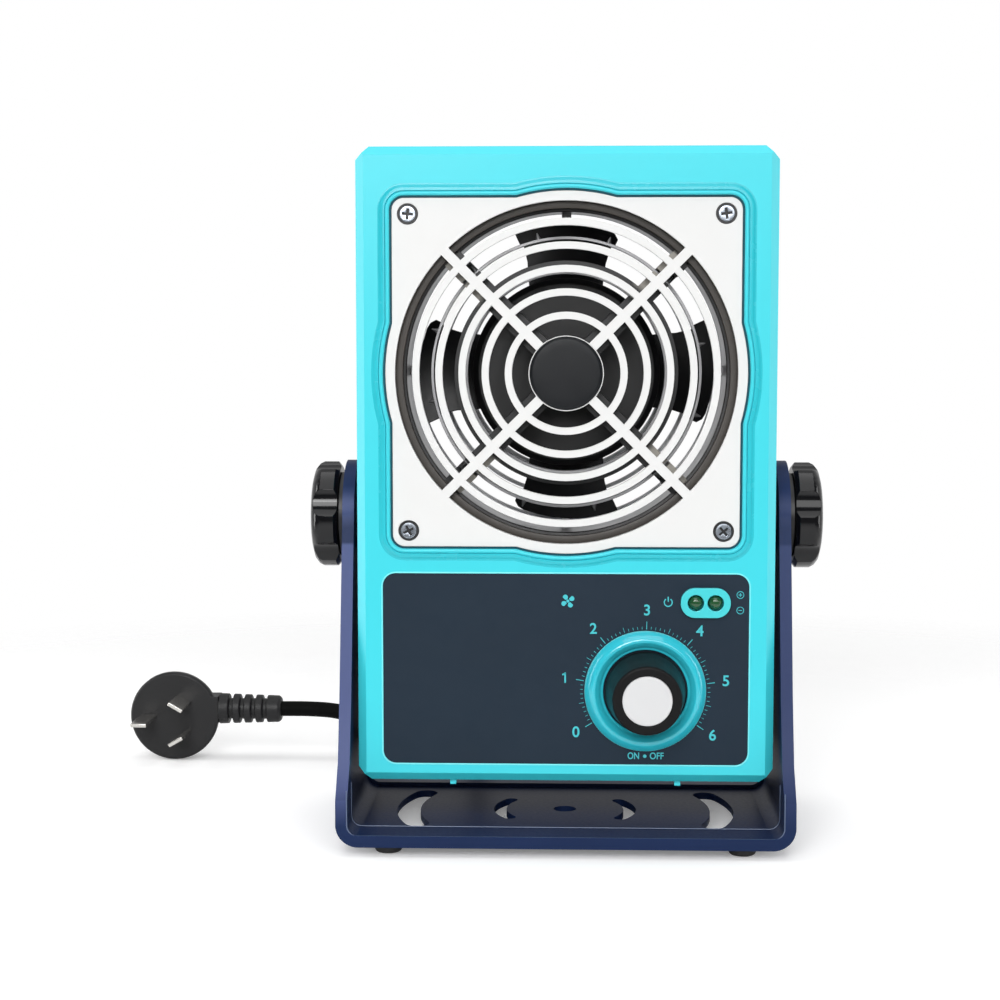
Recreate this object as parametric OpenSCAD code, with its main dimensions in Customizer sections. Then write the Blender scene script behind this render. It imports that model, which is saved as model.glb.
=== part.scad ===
// Benchtop ionizing blower: a fan head that tilts in a U-shaped stand.
// X runs to the right, Y away from the front, Z up. The origin lies on the floor, under the tilt axis.

/* [Head] */
// Room between the fan frame and each side of the head
side_room = 10; // [9:0.5:16]
// Distance from the tilt axis forward to the front face
pivot_back = 29; // [27:1:34]
// Height of the tilt axis above the head's lower edge
pivot_up = 88.2; // [84.2:1:92.2]
// Thickness of the housing walls
wall = 2.5; // [2:0.1:3.5]
// Thickness of the front face
face_t = 4; // [3.6:0.1:5]
// Depth of the front bezel
bezel_d = 21; // [19:1:24]
// Cut of the four long corner edges
edge_cut = 4.5; // [3.5:0.1:6]
// Bevel round the front face
front_bevel = 2.9; // [2:0.1:3.4]

/* [Guard] */
// Thickness of the guard plate
guard_t = 2.2; // [1.8:0.1:2.6]
// Depth of the plate's front under the front face
guard_sink = 0.4; // [0.2:0.1:0.6]
// Distance from the top of the head down to the plate
guard_margin = 17; // [16:0.1:18]
// Width of the guard's rings
ring_w = 2.4; // [2:0.1:2.8]
// Width of the guard's spokes
spoke_w = 3.3; // [2.8:0.1:4]
// Number of rings between hub and opening
ring_count = 5; // [3:1:5]
// Radius of the guard's hub
guard_hub_r = 12.5; // [11:0.1:14]
// Height of the moulded lip round the guard
lip_h = 0.6; // [0.4:0.1:1]
// Width of the moulded lip
lip_w = 3.4; // [2.6:0.1:3.6]

/* [Fan] */
// Side of the square fan frame
fan_w = 120; // [116:1:140]
// Depth of the fan frame
fan_d = 38; // [36:1:44]
// Length of a blade, from the hub to its tip
blade_l = 19.5; // [19.1:0.1:23]
// Number of blades
blade_count = 4; // [3:1:5]
// Thickness of a blade
blade_t = 1.8; // [1.4:0.1:2.2]
// Radius of the rotor shaft
shaft_r = 1.5; // [1.4:0.1:2]

/* [Ionizer] */
// Depth of the emitter carrier between front face and fan
carrier_d = 21.5; // [20.5:0.5:26]
// Distance from the air opening's edge in to the emitter ring
emitter_in = 11.5; // [10.9:0.1:13]
// Number of emitter points
needle_count = 12; // [8:1:16]
// Length of an emitter point
needle_l = 2.2; // [1.6:0.1:2.6]
// Distance from the emitter ring in to the counter ring
ring_gap = 11.6; // [11:0.1:12.5]
// Width of the carrier's diagonal arms
carrier_arm_w = 7; // [6:0.5:8]

/* [Controls] */
// Distance from the control label to each side of the head
label_side = 8.6; // [7:0.1:10]
// Height of the control label
label_h = 64.8; // [60:0.1:65]
// Distance from the head's lower edge up to the label
label_margin = 6.1; // [5:0.1:7]
// Distance from the label's right edge to the middle of the dial
dial_in = 34.6; // [31:0.1:38]
// Distance from the label up to the guard plate
label_gap = 8.9; // [7:0.1:14]
// Height of the dial above the label's lower edge
dial_up = 25.2; // [24:0.1:27]
// Outer radius of the dial ring
dial_r = 20.3; // [19:0.1:21]
// Radius of the speed knob at its foot
knob_r = 13.5; // [12:0.1:15]
// Length of the speed knob
knob_l = 18.2; // [15:0.1:20]
// Distance between the two lamps
led_pitch = 6.6; // [6:0.1:8]
// Radius of a lamp
led_r = 2.5; // [2:0.1:2.6]

/* [Stand] */
// Thickness of the stand's metal
arm_t = 4; // [3.5:0.1:5]
// Gap between the head and each arm
arm_gap = 2; // [1.5:0.1:3]
// Depth of the stand's base
base_d = 90; // [86:1:100]
// Height of the tilt axis above the floor
pivot_z = 110; // [109:1:125]
// Radius of the arms' round tops
cap_r = 18.8; // [18:0.1:20]
// Outer radius of the stand's lower corners
stand_r = 7.6; // [7:0.2:10]
// Depth of the recessed tray in the base
tray_t = 1.5; // [1:0.1:2]
// Width of the rim in front of and behind the tray
rim_w = 13; // [10:0.5:15]
// Radius of the hole in the middle of the base
centre_hole_r = 4; // [3:0.1:4.5]
// Distance from the arms in to the middle line of the outer curved slots
slot_in = 17; // [16:0.1:21]
// Width of the outer curved slots
slot_w = 8.2; // [7:0.1:9]
// Middle radius of the inner curved slots
inner_slot_r = 22.8; // [20:0.1:24]
// Width of the inner curved slots
inner_slot_w = 4.4; // [4:0.1:5]
// Height of the rubber feet
foot_h = 3; // [2:0.1:5]
// Radius of the rubber feet
foot_r = 4.8; // [4:0.1:5.5]

/* [Clamp knobs] */
// Radius of a clamp knob over its lobes
clamp_r = 18.2; // [16:0.1:20]
// Thickness of a clamp knob
clamp_t = 9.6; // [9:0.1:13]
// Thickness of the washer under a clamp knob
clamp_washer_t = 2; // [1:0.1:3]
// Radius of the clamp stud
stud_r = 3; // [2.5:0.1:4]

/* [Mains lead] */
// Diameter of the lead
cord_d = 6.2; // [6:0.1:6.4]
// Height of the lead's outlet above the head's lower edge
outlet_up = 24.2; // [23.2:0.5:26.2]
// Length of the outlet's strain relief
relief_l = 25; // [22:1:25]
// Radius of the plug's disc
plug_r = 17.9; // [17:0.1:18]

/* [Hidden] */
$fn = 64;

// Clearances
fit = 0.3;            // between pieces that drop into a pocket
running = 0.05;       // between a shaft and its bore
slip = 0.1;           // between flat faces that slide
cut = 1;              // overshoot of a cutting shape
slot_shoulder = 0.05; // step where a slot's round end meets its sides
push = 0.01;          // between a press-fitted pin and its bore

// Sizes that follow the fan
fan_pitch = fan_w - 15;
head_w = fan_w + 2 * side_room;
guard_w = fan_w - 4.4;
bulge_r = fan_w / 2 + 0.1;
open_r = fan_w / 2 - 3.1;
blade_r = open_r - 4.9;
hub_r = blade_r - blade_l;
ring_r = open_r - 6.9;
ring_step = (ring_r - guard_hub_r - 6.7) / 4;
emitter_r = open_r - emitter_in;
counter_r = emitter_r - ring_gap;
label_w = head_w - 2 * label_side;
dial_x = label_w / 2 - dial_in;
head_h = guard_margin + guard_w + label_gap + label_h + label_margin;

// Levels along Y
front_y = -pivot_back;
face_y = front_y + face_t;
pocket_y = front_y + guard_sink + guard_t;
fan_y = face_y + carrier_d;
fan_back_y = fan_y + fan_d;
rear_y = fan_back_y + wall;
seam_y = front_y + bezel_d;
label_t = 0.6;
label_sink = 0.2;
label_y = front_y + label_sink;
label_corner_r = 4.5;

// Levels along Z
head_z = pivot_z - pivot_up;
top_z = head_z + head_h;
fan_z = top_z - guard_margin - guard_w / 2;
label_z = head_z + label_margin + label_h / 2;
dial_z = head_z + label_margin + dial_up;
led_z = head_z + label_margin + label_h - 9.6;
led_x = dial_x + 19.9;
outlet_z = head_z + outlet_up;
outlet_x = -35;

// Housing
post_x = head_w / 2 - 8;
post_low_z = head_z + 6.5;
post_top_z = top_z - 7;
post_r = 3.6;
post_end_y = seam_y + 10;
screw_r = 1.5;
screw_head_r = 2.8;
tab_x = head_w / 2 - 32;
tab_w = 2;
tab_h = 1.8;

// Guard
guard_corner_r = 4;
lip_gap = 1.3;
guard_hole_r = 3.5;
guard_step = 1.2;
guard_washer_t = 0.3;
guard_head_t = 1.2;
cap_gap = 0.2;
hub_rim = 0.3;
wire_r = 0.8;
guard_eye_r = 3.4;
guard_eye_t = 1.8;
guard_disc_r = 18.6;

// Carrier
carrier_wall = 2.5;
carrier_plate_t = 3;
carrier_pillar_r = 4;
carrier_ring_r = counter_r + 2.9;
electrode_t = 1;
electrode_d = 3;
electrode_y = face_y + 11;

// Fan
frame_wall = 2.5;
frame_bore_r = open_r - 0.4;
flange_t = 4;
screw_boss_r = 3.6;
strut_w = 3.4;
strut_t = 5;
motor_base_t = 6.5;
rotor_y = fan_y + 4;
hub_wall = 2;
skirt_end_y = fan_back_y - motor_base_t - 2;
bearing_r = 4;
bearing_t = 3;
tube_wall = 1.5;
magnet_t = 2.6;
stator_r = hub_r - 8;
stator_core_r = hub_r - 17;
motor_base_r = hub_r - 4.5;

// Controls
bushing_r = 3.6;
pot_r = 8.5;
pot_l = 15;
pot_shaft_r = 3;
board_t = 1.6;
board_y = face_y + 10;
board_x = head_w / 2 - 18;
board_low = 6;
board_high = 50;
knob_gap = 0.6;
knob_y = label_y - knob_gap;
knob_front_y = knob_y - knob_l;
knob_cap_r = 8.3;
knob_cap_t = 1.2;
knob_bore_y = 3;
led_bezel_w = 16.6;
led_bezel_h = 10;
led_bezel_t = 1.8;

// Modules
module_d = 26;
power_w = head_w / 2 - 18;
power_t = 2;
hv_w = head_w / 2 - 16;
hv_h = 24;
hv_lead_r = 1.4;
lead_top_z = fan_z - open_r - carrier_wall;

// Stand
arm_in_x = head_w / 2 + arm_gap;
arm_out_x = arm_in_x + arm_t;
floor_z = foot_h;
base_z = floor_z + arm_t;
foot_x = arm_out_x - 17;
foot_y = base_d / 2 - 8;
stud_hole_r = stud_r + 0.25;
slot_r = arm_in_x - slot_in;
slot_angle = 23.3;
inner_slot_angle = 33;
arm_low_w = 30.5;
arm_low_z = pivot_z - 60;
arm_mid_w = 24;
arm_mid_z = pivot_z - 27;
flare = 8.7;
flare_z = 29.3;

// Clamp
clamp_x = arm_out_x + clamp_washer_t + slip;
insert_r = 5;
insert_l = (head_w - fan_w) / 2 - 1;
boss_r = 8;
clamp_washer_r = 14.5;
insert_in_x = head_w / 2 - insert_l;

// Mains lead
cord_r = cord_d / 2;
coil_turns = 3;
coil_mid_r = 35.2;
coil_x = 5;
coil_y = 120;
coil_half_w = coil_turns * cord_d / 2;
coil_h = 2 * cord_d;
gland_end_y = rear_y + relief_l;
plug_x = -159;
plug_y = 98;
plug_t = 12;
plug_z = plug_r + 0.1;
plug_cord_y = 103;
plug_cord_z = 20.4;
plug_relief_x = -115.6;
plug_relief_l = 25.4;
// From the outlet down to the upper layer of the coil, entering it on its left side
LEAD_ROUTE = [
    [outlet_x, gland_end_y, outlet_z], [outlet_x, gland_end_y + 5, outlet_z],
    [-35, 74, 45], [-35, 81, 42.2], [-35, 87, 37.7], [-35, 91.3, 32], [-35.1, 93.5, 27],
    [-35.3, 95.8, 22.5], [-35.6, 100.2, 17.2], [-35.9, 106, 13.1], [-36.2, 112.8, 10.3], [-36.4, 120, 9.3]
];
// From the lower layer of the coil, leaving it on its front side, across to the plug
TAIL_ROUTE = [
    [5, 78.6, 3.1], [-6, 78.9, 3.1], [-17, 80.2, 3.1], [-28, 82.9, 3.1], [-39, 87, 3.2], [-49, 91.2, 4.5],
    [-59, 95.3, 7.2], [-68, 98.3, 10.8], [-77, 100.6, 14.8], [-86, 102.1, 18], [-95, 102.8, 19.8],
    [-105, 103, 20.4], [-115.6, 103, 20.4]
];

// ---- Helpers ----

// Extrudes a drawing of X and Z along Y
module along_y(y0, y1) {
    translate([0, y1, 0]) rotate([90, 0, 0]) linear_extrude(y1 - y0) children();
}

// Extrudes a drawing of Y and Z along X
module along_x(x0, x1) {
    translate([x0, 0, 0]) rotate([90, 0, 90]) linear_extrude(x1 - x0) children();
}

// Puts what is drawn about the origin on the fan's axis
module at_fan() {
    translate([0, 0, fan_z]) children();
}

// Turns a profile of radius and Y round an axis that runs along Y
module turned_y() {
    rotate([-90, 0, 0]) rotate_extrude() children();
}

// Repeats a piece at the four corners of a square in X and Z
module at_corners(pitch) {
    for (x = [-1, 1], z = [-1, 1]) translate([x * pitch / 2, 0, z * pitch / 2]) children();
}

module round_rect(w, h, r) {
    square([w - 2 * r, h], center = true);
    square([w, h - 2 * r], center = true);
    for (x = [-1, 1], y = [-1, 1]) translate([x * (w / 2 - r), y * (h / 2 - r)]) circle(r);
}

// Rectangle with its corners cut at 45 degrees
module cut_rect(w, h, c) {
    x = w / 2;
    y = h / 2;
    polygon([
        [c - x, -y], [x - c, -y], [x, c - y], [x, y - c],
        [x - c, y], [c - x, y], [-x, y - c], [-x, c - y]
    ]);
}

// Section of the head, with its front or back corners bevelled
module bevelled_section(half, y0, y1, front, back) {
    polygon([
        [y0, front - half], [y0 + front, -half], [y1 - back, -half], [y1, back - half],
        [y1, half - back], [y1 - back, half], [y0 + front, half], [y0, half - front]
    ]);
}

// The head's outer form between two levels
module head_form(y0, y1, front, back) {
    mid_z = head_z + head_h / 2;
    translate([0, 0, mid_z]) intersection() {
        along_y(y0, y1) cut_rect(head_w, head_h, edge_cut);
        along_x(-head_w / 2, head_w / 2) bevelled_section(head_h / 2, y0, y1, front, back);
        translate([0, 0, -head_h / 2]) linear_extrude(head_h) mirror([1, -1, 0])
            bevelled_section(head_w / 2, y0, y1, front, back);
    }
}

// The room inside the walls
module head_room(y0, y1) {
    translate([0, 0, head_z + head_h / 2])
        along_y(y0, y1) cut_rect(head_w - 2 * wall, head_h - 2 * wall, edge_cut - wall / 2);
}

// Outline of the guard plate, grown by a margin
module guard_outline(grow) {
    round_rect(guard_w + 2 * grow, guard_w + 2 * grow, guard_corner_r + grow);
    circle(bulge_r + grow, $fn = 128);
}

module posts(y0, y1, r) {
    along_y(y0, y1) for (x = [-post_x, post_x], z = [post_low_z, post_top_z]) translate([x, z]) circle(r);
}

function unit(v) = v / norm(v);
function tangent(p, i) = unit(p[min(i + 1, len(p) - 1)] - p[max(i - 1, 0)]);

// Tube along a route, as a closed mesh of rings
module tube(route, r, up, sides) {
    n = len(route);
    rings = [
        for (i = [0:n - 1])
            let (t = tangent(route, i), u = unit(cross(t, up)), v = cross(t, u))
                for (k = [0:sides - 1])
                    route[i] + r * (cos(360 * k / sides) * u + sin(360 * k / sides) * v)
    ];
    walls = [
        for (i = [0:n - 2], k = [0:sides - 1])
            let (a = i * sides + k, b = i * sides + (k + 1) % sides)
                each [[a, b, b + sides], [a, b + sides, a + sides]]
    ];
    first = [for (k = [0:sides - 1]) sides - 1 - k];
    last = [for (k = [0:sides - 1]) (n - 1) * sides + k];
    polyhedron(rings, concat(walls, [first, last]));
}

// ---- Stand ----

// Side view of an arm and its foot
module arm_outline() {
    half = base_d / 2;
    translate([0, pivot_z]) circle(cap_r);
    polygon([
        [-half, 0], [half, 0], [half, base_z], [half - 0.8, 18.6], [half - flare, flare_z],
        [arm_low_w, arm_low_z], [arm_mid_w, arm_mid_z], [cap_r, pivot_z],
        [-cap_r, pivot_z], [-arm_mid_w, arm_mid_z], [-arm_low_w, arm_low_z],
        [flare - half, flare_z], [0.8 - half, 18.6], [-half, base_z]
    ]);
}

// U-shaped outline in X and Z
module stand_u(x, z, r) {
    top = pivot_z + cap_r + cut;
    translate([-x, z + r]) square([2 * x, top - z - r]);
    translate([r - x, z]) square([2 * (x - r), 2 * r]);
    for (s = [-1, 1]) translate([s * (x - r), z + r]) circle(r);
}

// Slot along an arc about the middle of the base
module arc_slot(r, w, half_angle) {
    reach = 2 * (r + w);
    intersection() {
        difference() {
            circle(r + w / 2, $fn = 128);
            circle(r - w / 2, $fn = 128);
        }
        polygon([[0, 0], reach * [cos(half_angle), -sin(half_angle)], reach * [1, 0],
            reach * [cos(half_angle), sin(half_angle)]]);
    }
    for (s = [-1, 1]) rotate(s * half_angle) translate([r, 0]) circle(w / 2 - slot_shoulder);
}

module stand_bracket() {
    tray = base_d / 2 - rim_w;
    in_r = stand_r - arm_t;
    color([0.15, 0.21, 0.33]) difference() {
        intersection() {
            along_y(-base_d / 2, base_d / 2) difference() {
                stand_u(arm_out_x, floor_z, stand_r);
                stand_u(arm_in_x, base_z, in_r);
            }
            along_x(-arm_out_x, arm_out_x) arm_outline();
        }
        intersection() {
            along_y(-tray, tray) stand_u(arm_in_x + tray_t, base_z - tray_t, in_r + tray_t);
            along_x(-arm_out_x, arm_out_x)
                polygon([
                    [-tray, 0], [tray, 0], [tray, 20], [22, 40], [14, 62], [-14, 62], [-22, 40], [-tray, 20]
                ]);
        }
        translate([0, 0, -cut]) cylinder(r = centre_hole_r, h = base_z + 2 * cut);
        for (side = [0, 180]) rotate(side) translate([0, 0, -cut]) linear_extrude(base_z + 2 * cut) {
            arc_slot(slot_r, slot_w, slot_angle);
            arc_slot(inner_slot_r, inner_slot_w, inner_slot_angle);
        }
        translate([0, 0, pivot_z]) rotate([0, 90, 0])
            cylinder(r = stud_hole_r, h = 2 * arm_out_x + 2 * cut, center = true);
    }
}

module stand_feet() {
    color([0.08, 0.08, 0.09]) for (x = [-foot_x, foot_x], y = [-foot_y, foot_y])
        translate([x, y, 0]) rotate_extrude()
            polygon([[0, 0], [foot_r - 0.8, 0], [foot_r - 0.2, 0.8], [foot_r, foot_h], [0, foot_h]]);
}

// ---- Housing ----

module front_bezel() {
    color([0.2, 0.8, 0.87]) difference() {
        union() {
            difference() {
                head_form(front_y, seam_y, front_bevel, 0);
                head_room(face_y, seam_y + cut);
            }
            at_fan() along_y(front_y - lip_h, front_y + cut) guard_outline(lip_gap + lip_w);
            posts(face_y - cut, seam_y, post_r);
            for (x = [-board_x, board_x], z = [board_low, board_high])
                along_y(face_y - cut, board_y) translate([x, head_z + z]) circle(3);
            for (x = [-tab_x, tab_x]) translate([x - tab_w / 2, front_y + 4, head_z - tab_h])
                cube([tab_w, 8, tab_h + cut]);
        }
        at_fan() along_y(front_y - lip_h - cut, pocket_y) guard_outline(lip_gap);
        at_fan() along_y(front_y, face_y + cut) circle(open_r + carrier_wall + fit, $fn = 128);
        at_fan() at_corners(fan_pitch) along_y(pocket_y - cut, face_y + cut) circle(screw_r + 0.2);
        translate([0, 0, label_z]) along_y(front_y - cut, label_y + label_t)
            round_rect(label_w, label_h, label_corner_r);
        translate([dial_x, 0, dial_z]) along_y(front_y, face_y + cut) circle(bushing_r + 0.1);
        for (s = [-0.5, 0.5]) translate([led_x + s * led_pitch, 0, led_z])
            along_y(front_y, face_y + cut) circle(led_r + 0.1);
        posts(face_y + cut, seam_y + cut, screw_r + running);
        for (x = [-board_x, board_x], z = [board_low, board_high])
            along_y(face_y + cut, board_y + cut) translate([x, head_z + z]) circle(1.1);
    }
}

module rear_housing() {
    color([0.13, 0.18, 0.3]) difference() {
        union() {
            difference() {
                head_form(seam_y, rear_y, 0, 2);
                head_room(seam_y - cut, fan_back_y);
            }
            posts(seam_y, fan_back_y + cut, post_r);
            for (s = [-1, 1]) mirror([s < 0 ? 1 : 0, 0, 0]) translate([insert_in_x, 0, pivot_z])
                rotate([0, 90, 0]) cylinder(r = boss_r, h = head_w / 2 - insert_in_x - 1);
        }
        at_fan() along_y(fan_back_y - cut, rear_y + cut) circle(frame_bore_r, $fn = 128);
        at_fan() at_corners(fan_pitch) along_y(fan_back_y - cut, rear_y + cut) circle(screw_r + 0.2);
        posts(seam_y - cut, rear_y + cut, screw_r + 0.1);
        posts(post_end_y, rear_y + cut, screw_head_r + 0.2);
        translate([outlet_x, 0, outlet_z]) along_y(fan_back_y - cut, rear_y + cut) circle(5);
        translate([0, 0, pivot_z]) rotate([0, 90, 0])
            cylinder(r = insert_r, h = head_w + cut, center = true);
    }
}

// A screw along Y whose head faces the front
module screw(head_r, head_t, l) {
    difference() {
        union() {
            along_y(-head_t, 0) circle(head_r);
            along_y(-cut / 2, l) circle(screw_r);
        }
        for (turn = [0, 90]) rotate([0, turn, 0])
            translate([-0.7 * head_r, -head_t - cut, -0.4]) cube([1.4 * head_r, cut + 0.7, 0.8]);
    }
}

module housing_screws() {
    color("silver") for (x = [-post_x, post_x], z = [post_low_z, post_top_z])
        translate([x, post_end_y, z]) mirror([0, 1, 0]) screw(screw_head_r, 2, post_end_y - seam_y + 10);
}

// ---- Guards ----

module front_guard() {
    color([0.95, 0.95, 0.94]) at_fan() difference() {
        along_y(front_y + guard_sink, pocket_y) {
            difference() {
                guard_outline(0);
                circle(open_r, $fn = 128);
            }
            for (i = [0:ring_count - 1]) difference() {
                circle(ring_r - i * ring_step + ring_w / 2, $fn = 128);
                circle(ring_r - i * ring_step - ring_w / 2, $fn = 128);
            }
            for (turn = [45, 135]) rotate(turn) square([2 * open_r + 1, spoke_w], center = true);
            circle(guard_hub_r);
        }
        along_y(front_y, front_y + guard_sink + 1) circle(guard_hub_r - hub_rim);
        at_corners(fan_pitch) {
            along_y(front_y, front_y + guard_sink + guard_step) circle(guard_hole_r);
            along_y(front_y, pocket_y + cut) circle(screw_r + 0.2);
        }
    }
}

module guard_cap() {
    floor_y = front_y + guard_sink + 1;
    r = guard_hub_r - hub_rim - cap_gap / 2;
    color([0.1, 0.1, 0.11]) at_fan() turned_y()
        polygon([[0, floor_y], [r, floor_y], [r, floor_y - 1.2], [r - 0.8, floor_y - 1.8],
            [r - 3, floor_y - 2], [0, floor_y - 2.2]]);
}

module guard_washers() {
    seat_y = front_y + guard_sink + guard_step;
    color([0.08, 0.08, 0.08]) at_fan() at_corners(fan_pitch)
        along_y(seat_y - guard_washer_t, seat_y) difference() {
            circle(guard_hole_r - 0.1);
            circle(screw_r + 0.1);
        }
}

module guard_screws() {
    head_y = front_y + guard_sink + guard_step - guard_washer_t;
    color("silver") at_fan() at_corners(fan_pitch)
        translate([0, head_y, 0]) screw(screw_head_r, guard_head_t, fan_y + flange_t - head_y);
}

module rear_guard() {
    rings_y = rear_y + 1.5 * wire_r + guard_eye_t / 2;
    color([0.9, 0.9, 0.9]) at_fan() {
        translate([0, rings_y, 0]) turned_y()
            for (r = [frame_bore_r - 2:-9.3:guard_disc_r + 4]) translate([r, 0]) circle(0.95 * wire_r);
        difference() {
            union() {
                for (turn = [45:90:315]) rotate([0, turn, 0])
                    translate([guard_disc_r - 2, rear_y + guard_eye_t / 2, 0]) rotate([0, 90, 0])
                        cylinder(r = wire_r, h = fan_pitch / sqrt(2) - guard_disc_r + 2);
                at_corners(fan_pitch) along_y(rear_y, rear_y + guard_eye_t) circle(guard_eye_r);
                along_y(rear_y + 0.3, rear_y + guard_eye_t) circle(guard_disc_r);
            }
            at_corners(fan_pitch) along_y(rear_y - cut, rear_y + guard_eye_t + cut) circle(screw_r + 0.1);
        }
    }
}

module rear_guard_screws() {
    head_y = rear_y + guard_eye_t;
    color("silver") at_fan() at_corners(fan_pitch)
        translate([0, head_y, 0]) mirror([0, 1, 0])
            screw(screw_head_r, 1.6, head_y - fan_back_y + flange_t);
}

// ---- Ionizer ----

// Circular strip about the fan axis
module strip(r, t, y0, y1) {
    along_y(y0, y1) difference() {
        circle(r + t / 2, $fn = 128);
        circle(r - t / 2, $fn = 128);
    }
}

// Repeats a piece round the outside of the emitter ring, its foot on the ring
module at_needles() {
    for (k = [0:needle_count - 1])
        rotate([0, 18 + 360 / needle_count * k, 0])
            translate([0, 0, emitter_r + electrode_t / 2]) children();
}

module emitter_carrier() {
    back_y = fan_y - carrier_plate_t;
    arm_front_y = face_y + 2;
    arm_back_y = electrode_y + electrode_d + 2;
    color([0.1, 0.1, 0.1]) at_fan() difference() {
        union() {
            strip(open_r + carrier_wall / 2, carrier_wall, pocket_y, fan_y);
            along_y(back_y, fan_y) difference() {
                round_rect(fan_w - 1, fan_w - 1, 6);
                circle(open_r, $fn = 128);
            }
            at_corners(fan_pitch) along_y(face_y, fan_y) circle(carrier_pillar_r);
            for (turn = [45, 135, 225, 315]) rotate([0, turn, 0]) along_y(arm_front_y, arm_back_y)
                translate([open_r / 2 + 3, 0]) square([open_r - 4, carrier_arm_w], center = true);
            strip(carrier_ring_r, 1.8, arm_front_y + 2, arm_back_y - 2);
            along_y(arm_front_y - 0.4, arm_back_y + 0.4) circle(10);
        }
        strip(emitter_r, electrode_t + 0.2, arm_front_y - cut, electrode_y + electrode_d);
        strip(counter_r, electrode_t + 0.2, arm_front_y - cut, electrode_y + electrode_d);
        at_needles() translate([-1.1, arm_front_y - cut, -1])
            cube([2.2, electrode_y + electrode_d / 2 + 1.1 - arm_front_y + cut, needle_l + 1.6]);
        at_corners(fan_pitch) along_y(face_y - cut, fan_y + cut) circle(screw_r + 0.2);
    }
}

module emitter_ring() {
    color("silver") at_fan() strip(emitter_r, electrode_t, electrode_y, electrode_y + electrode_d);
}

module counter_ring() {
    color("silver") at_fan() strip(counter_r, electrode_t, electrode_y, electrode_y + electrode_d);
}

// Points that stand out from the emitter ring
module emitter_needles() {
    color("silver") at_fan() at_needles() translate([0, electrode_y + electrode_d / 2, 0])
        cylinder(r1 = 0.9, r2 = 0.15, h = needle_l, $fn = 24);
}

// ---- Fan ----

module fan_frame() {
    base_y = fan_back_y - motor_base_t;
    color([0.62, 0.63, 0.64]) at_fan() difference() {
        union() {
            strip(frame_bore_r + frame_wall / 2, frame_wall, fan_y, fan_back_y);
            for (y = [fan_y, fan_back_y - flange_t]) along_y(y, y + flange_t) difference() {
                round_rect(fan_w, fan_w, 5);
                circle(frame_bore_r, $fn = 128);
            }
            at_corners(fan_pitch) along_y(fan_y, fan_back_y) circle(screw_boss_r);
            for (turn = [0, 90]) rotate([0, turn, 0]) along_y(fan_back_y - strut_t, fan_back_y)
                square([2 * frame_bore_r + 2, strut_w], center = true);
            along_y(base_y, fan_back_y) circle(motor_base_r);
            along_y(rotor_y + 4.5, base_y + cut) circle(bearing_r + tube_wall);
        }
        along_y(rotor_y, fan_back_y - 2) circle(bearing_r + running);
        at_corners(fan_pitch) along_y(fan_y - cut, fan_back_y + cut) circle(screw_r + running);
    }
}

module fan_stator() {
    color([0.72, 0.45, 0.2]) at_fan() along_y(rotor_y + 6, fan_back_y - motor_base_t) difference() {
        union() {
            circle(stator_core_r);
            for (turn = [0:60:300]) rotate(turn) {
                translate([0, -3]) square([stator_r - 2, 6]);
                intersection() {
                    circle(stator_r);
                    translate([stator_r - 5, -8]) square([6, 16]);
                }
            }
        }
        circle(bearing_r + tube_wall + running);
    }
}

module fan_bearings() {
    color("silver") at_fan() for (y = [rotor_y + 5, fan_back_y - 2 - bearing_t - fit])
        along_y(y, y + bearing_t) difference() {
            circle(bearing_r);
            circle(shaft_r + running);
        }
}

// Section of a blade on a cylinder of radius r, between two angles from the blade's middle line.
// The blade climbs along Y with the angle and is bowed by a share of its length.
function blade_section(r, lead, trail, steps) =
    let (side = [
        for (k = [0:steps]) let (f = k / steps) [lead + (trail - lead) * f, 9.6 * f * (1 - f)]
    ])
        [
            for (k = [0:steps]) blade_point(r, side[k], 0),
            for (k = [steps:-1:0]) blade_point(r, side[k], k == 0 || k == steps ? 0.6 : blade_t)
        ];
function blade_point(r, s, lift) =
    [r * sin(s[0]), rotor_y + 13 + 0.42 * s[0] * (0.6 + 0.4 * hub_r / r) - s[1] + lift, r * cos(s[0])];

module blade() {
    steps = 6;
    ring = 2 * (steps + 1);
    stations = [
        [hub_r - 1, -24, 24], [hub_r + 3, -22, 22], [hub_r + 8, -19.6, 20.2],
        [hub_r + 14, -18.8, 19.8], [blade_r - 5, -20.2, 21.2], [blade_r - 2, -20.5, 21.5],
        [blade_r - 0.5, -20.6, 19.5], [blade_r, -20.6, 17]
    ];
    n = len(stations);
    points = [for (s = stations) each blade_section(s[0], s[1], s[2], steps)];
    walls = [
        for (i = [0:n - 2], k = [0:ring - 1])
            let (a = i * ring + k, b = i * ring + (k + 1) % ring)
                each [[a, b + ring, b], [a, a + ring, b + ring]]
    ];
    // End faces as strips across the thickness
    function ends(o, flip) = [
        for (k = [0:steps - 1])
            let (a = o + k, b = o + k + 1, c = o + ring - 2 - k, d = o + ring - 1 - k)
                each flip ? [[a, b, c], [a, c, d]] : [[a, c, b], [a, d, c]]
    ];
    polyhedron(points, concat(walls, ends(0, true), ends((n - 1) * ring, false)));
}

module impeller() {
    color([0.07, 0.07, 0.08]) at_fan() {
        turned_y() polygon([
            [shaft_r, rotor_y], [hub_r - 2, rotor_y], [hub_r, rotor_y + 2], [hub_r, skirt_end_y],
            [hub_r - hub_wall, skirt_end_y], [hub_r - hub_wall, rotor_y + hub_wall],
            [5, rotor_y + hub_wall], [5, rotor_y + 4], [shaft_r, rotor_y + 4]
        ]);
        for (k = [0:blade_count - 1]) rotate([0, 360 / blade_count * k, 0]) blade();
    }
}

module rotor_magnet() {
    outer = hub_r - hub_wall - running;
    color([0.3, 0.28, 0.27]) at_fan()
        strip(outer - magnet_t / 2, magnet_t, rotor_y + hub_wall, skirt_end_y - 2);
}

module rotor_shaft() {
    color("silver") at_fan() along_y(rotor_y, fan_back_y - 2.5) circle(shaft_r - push);
}

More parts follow.
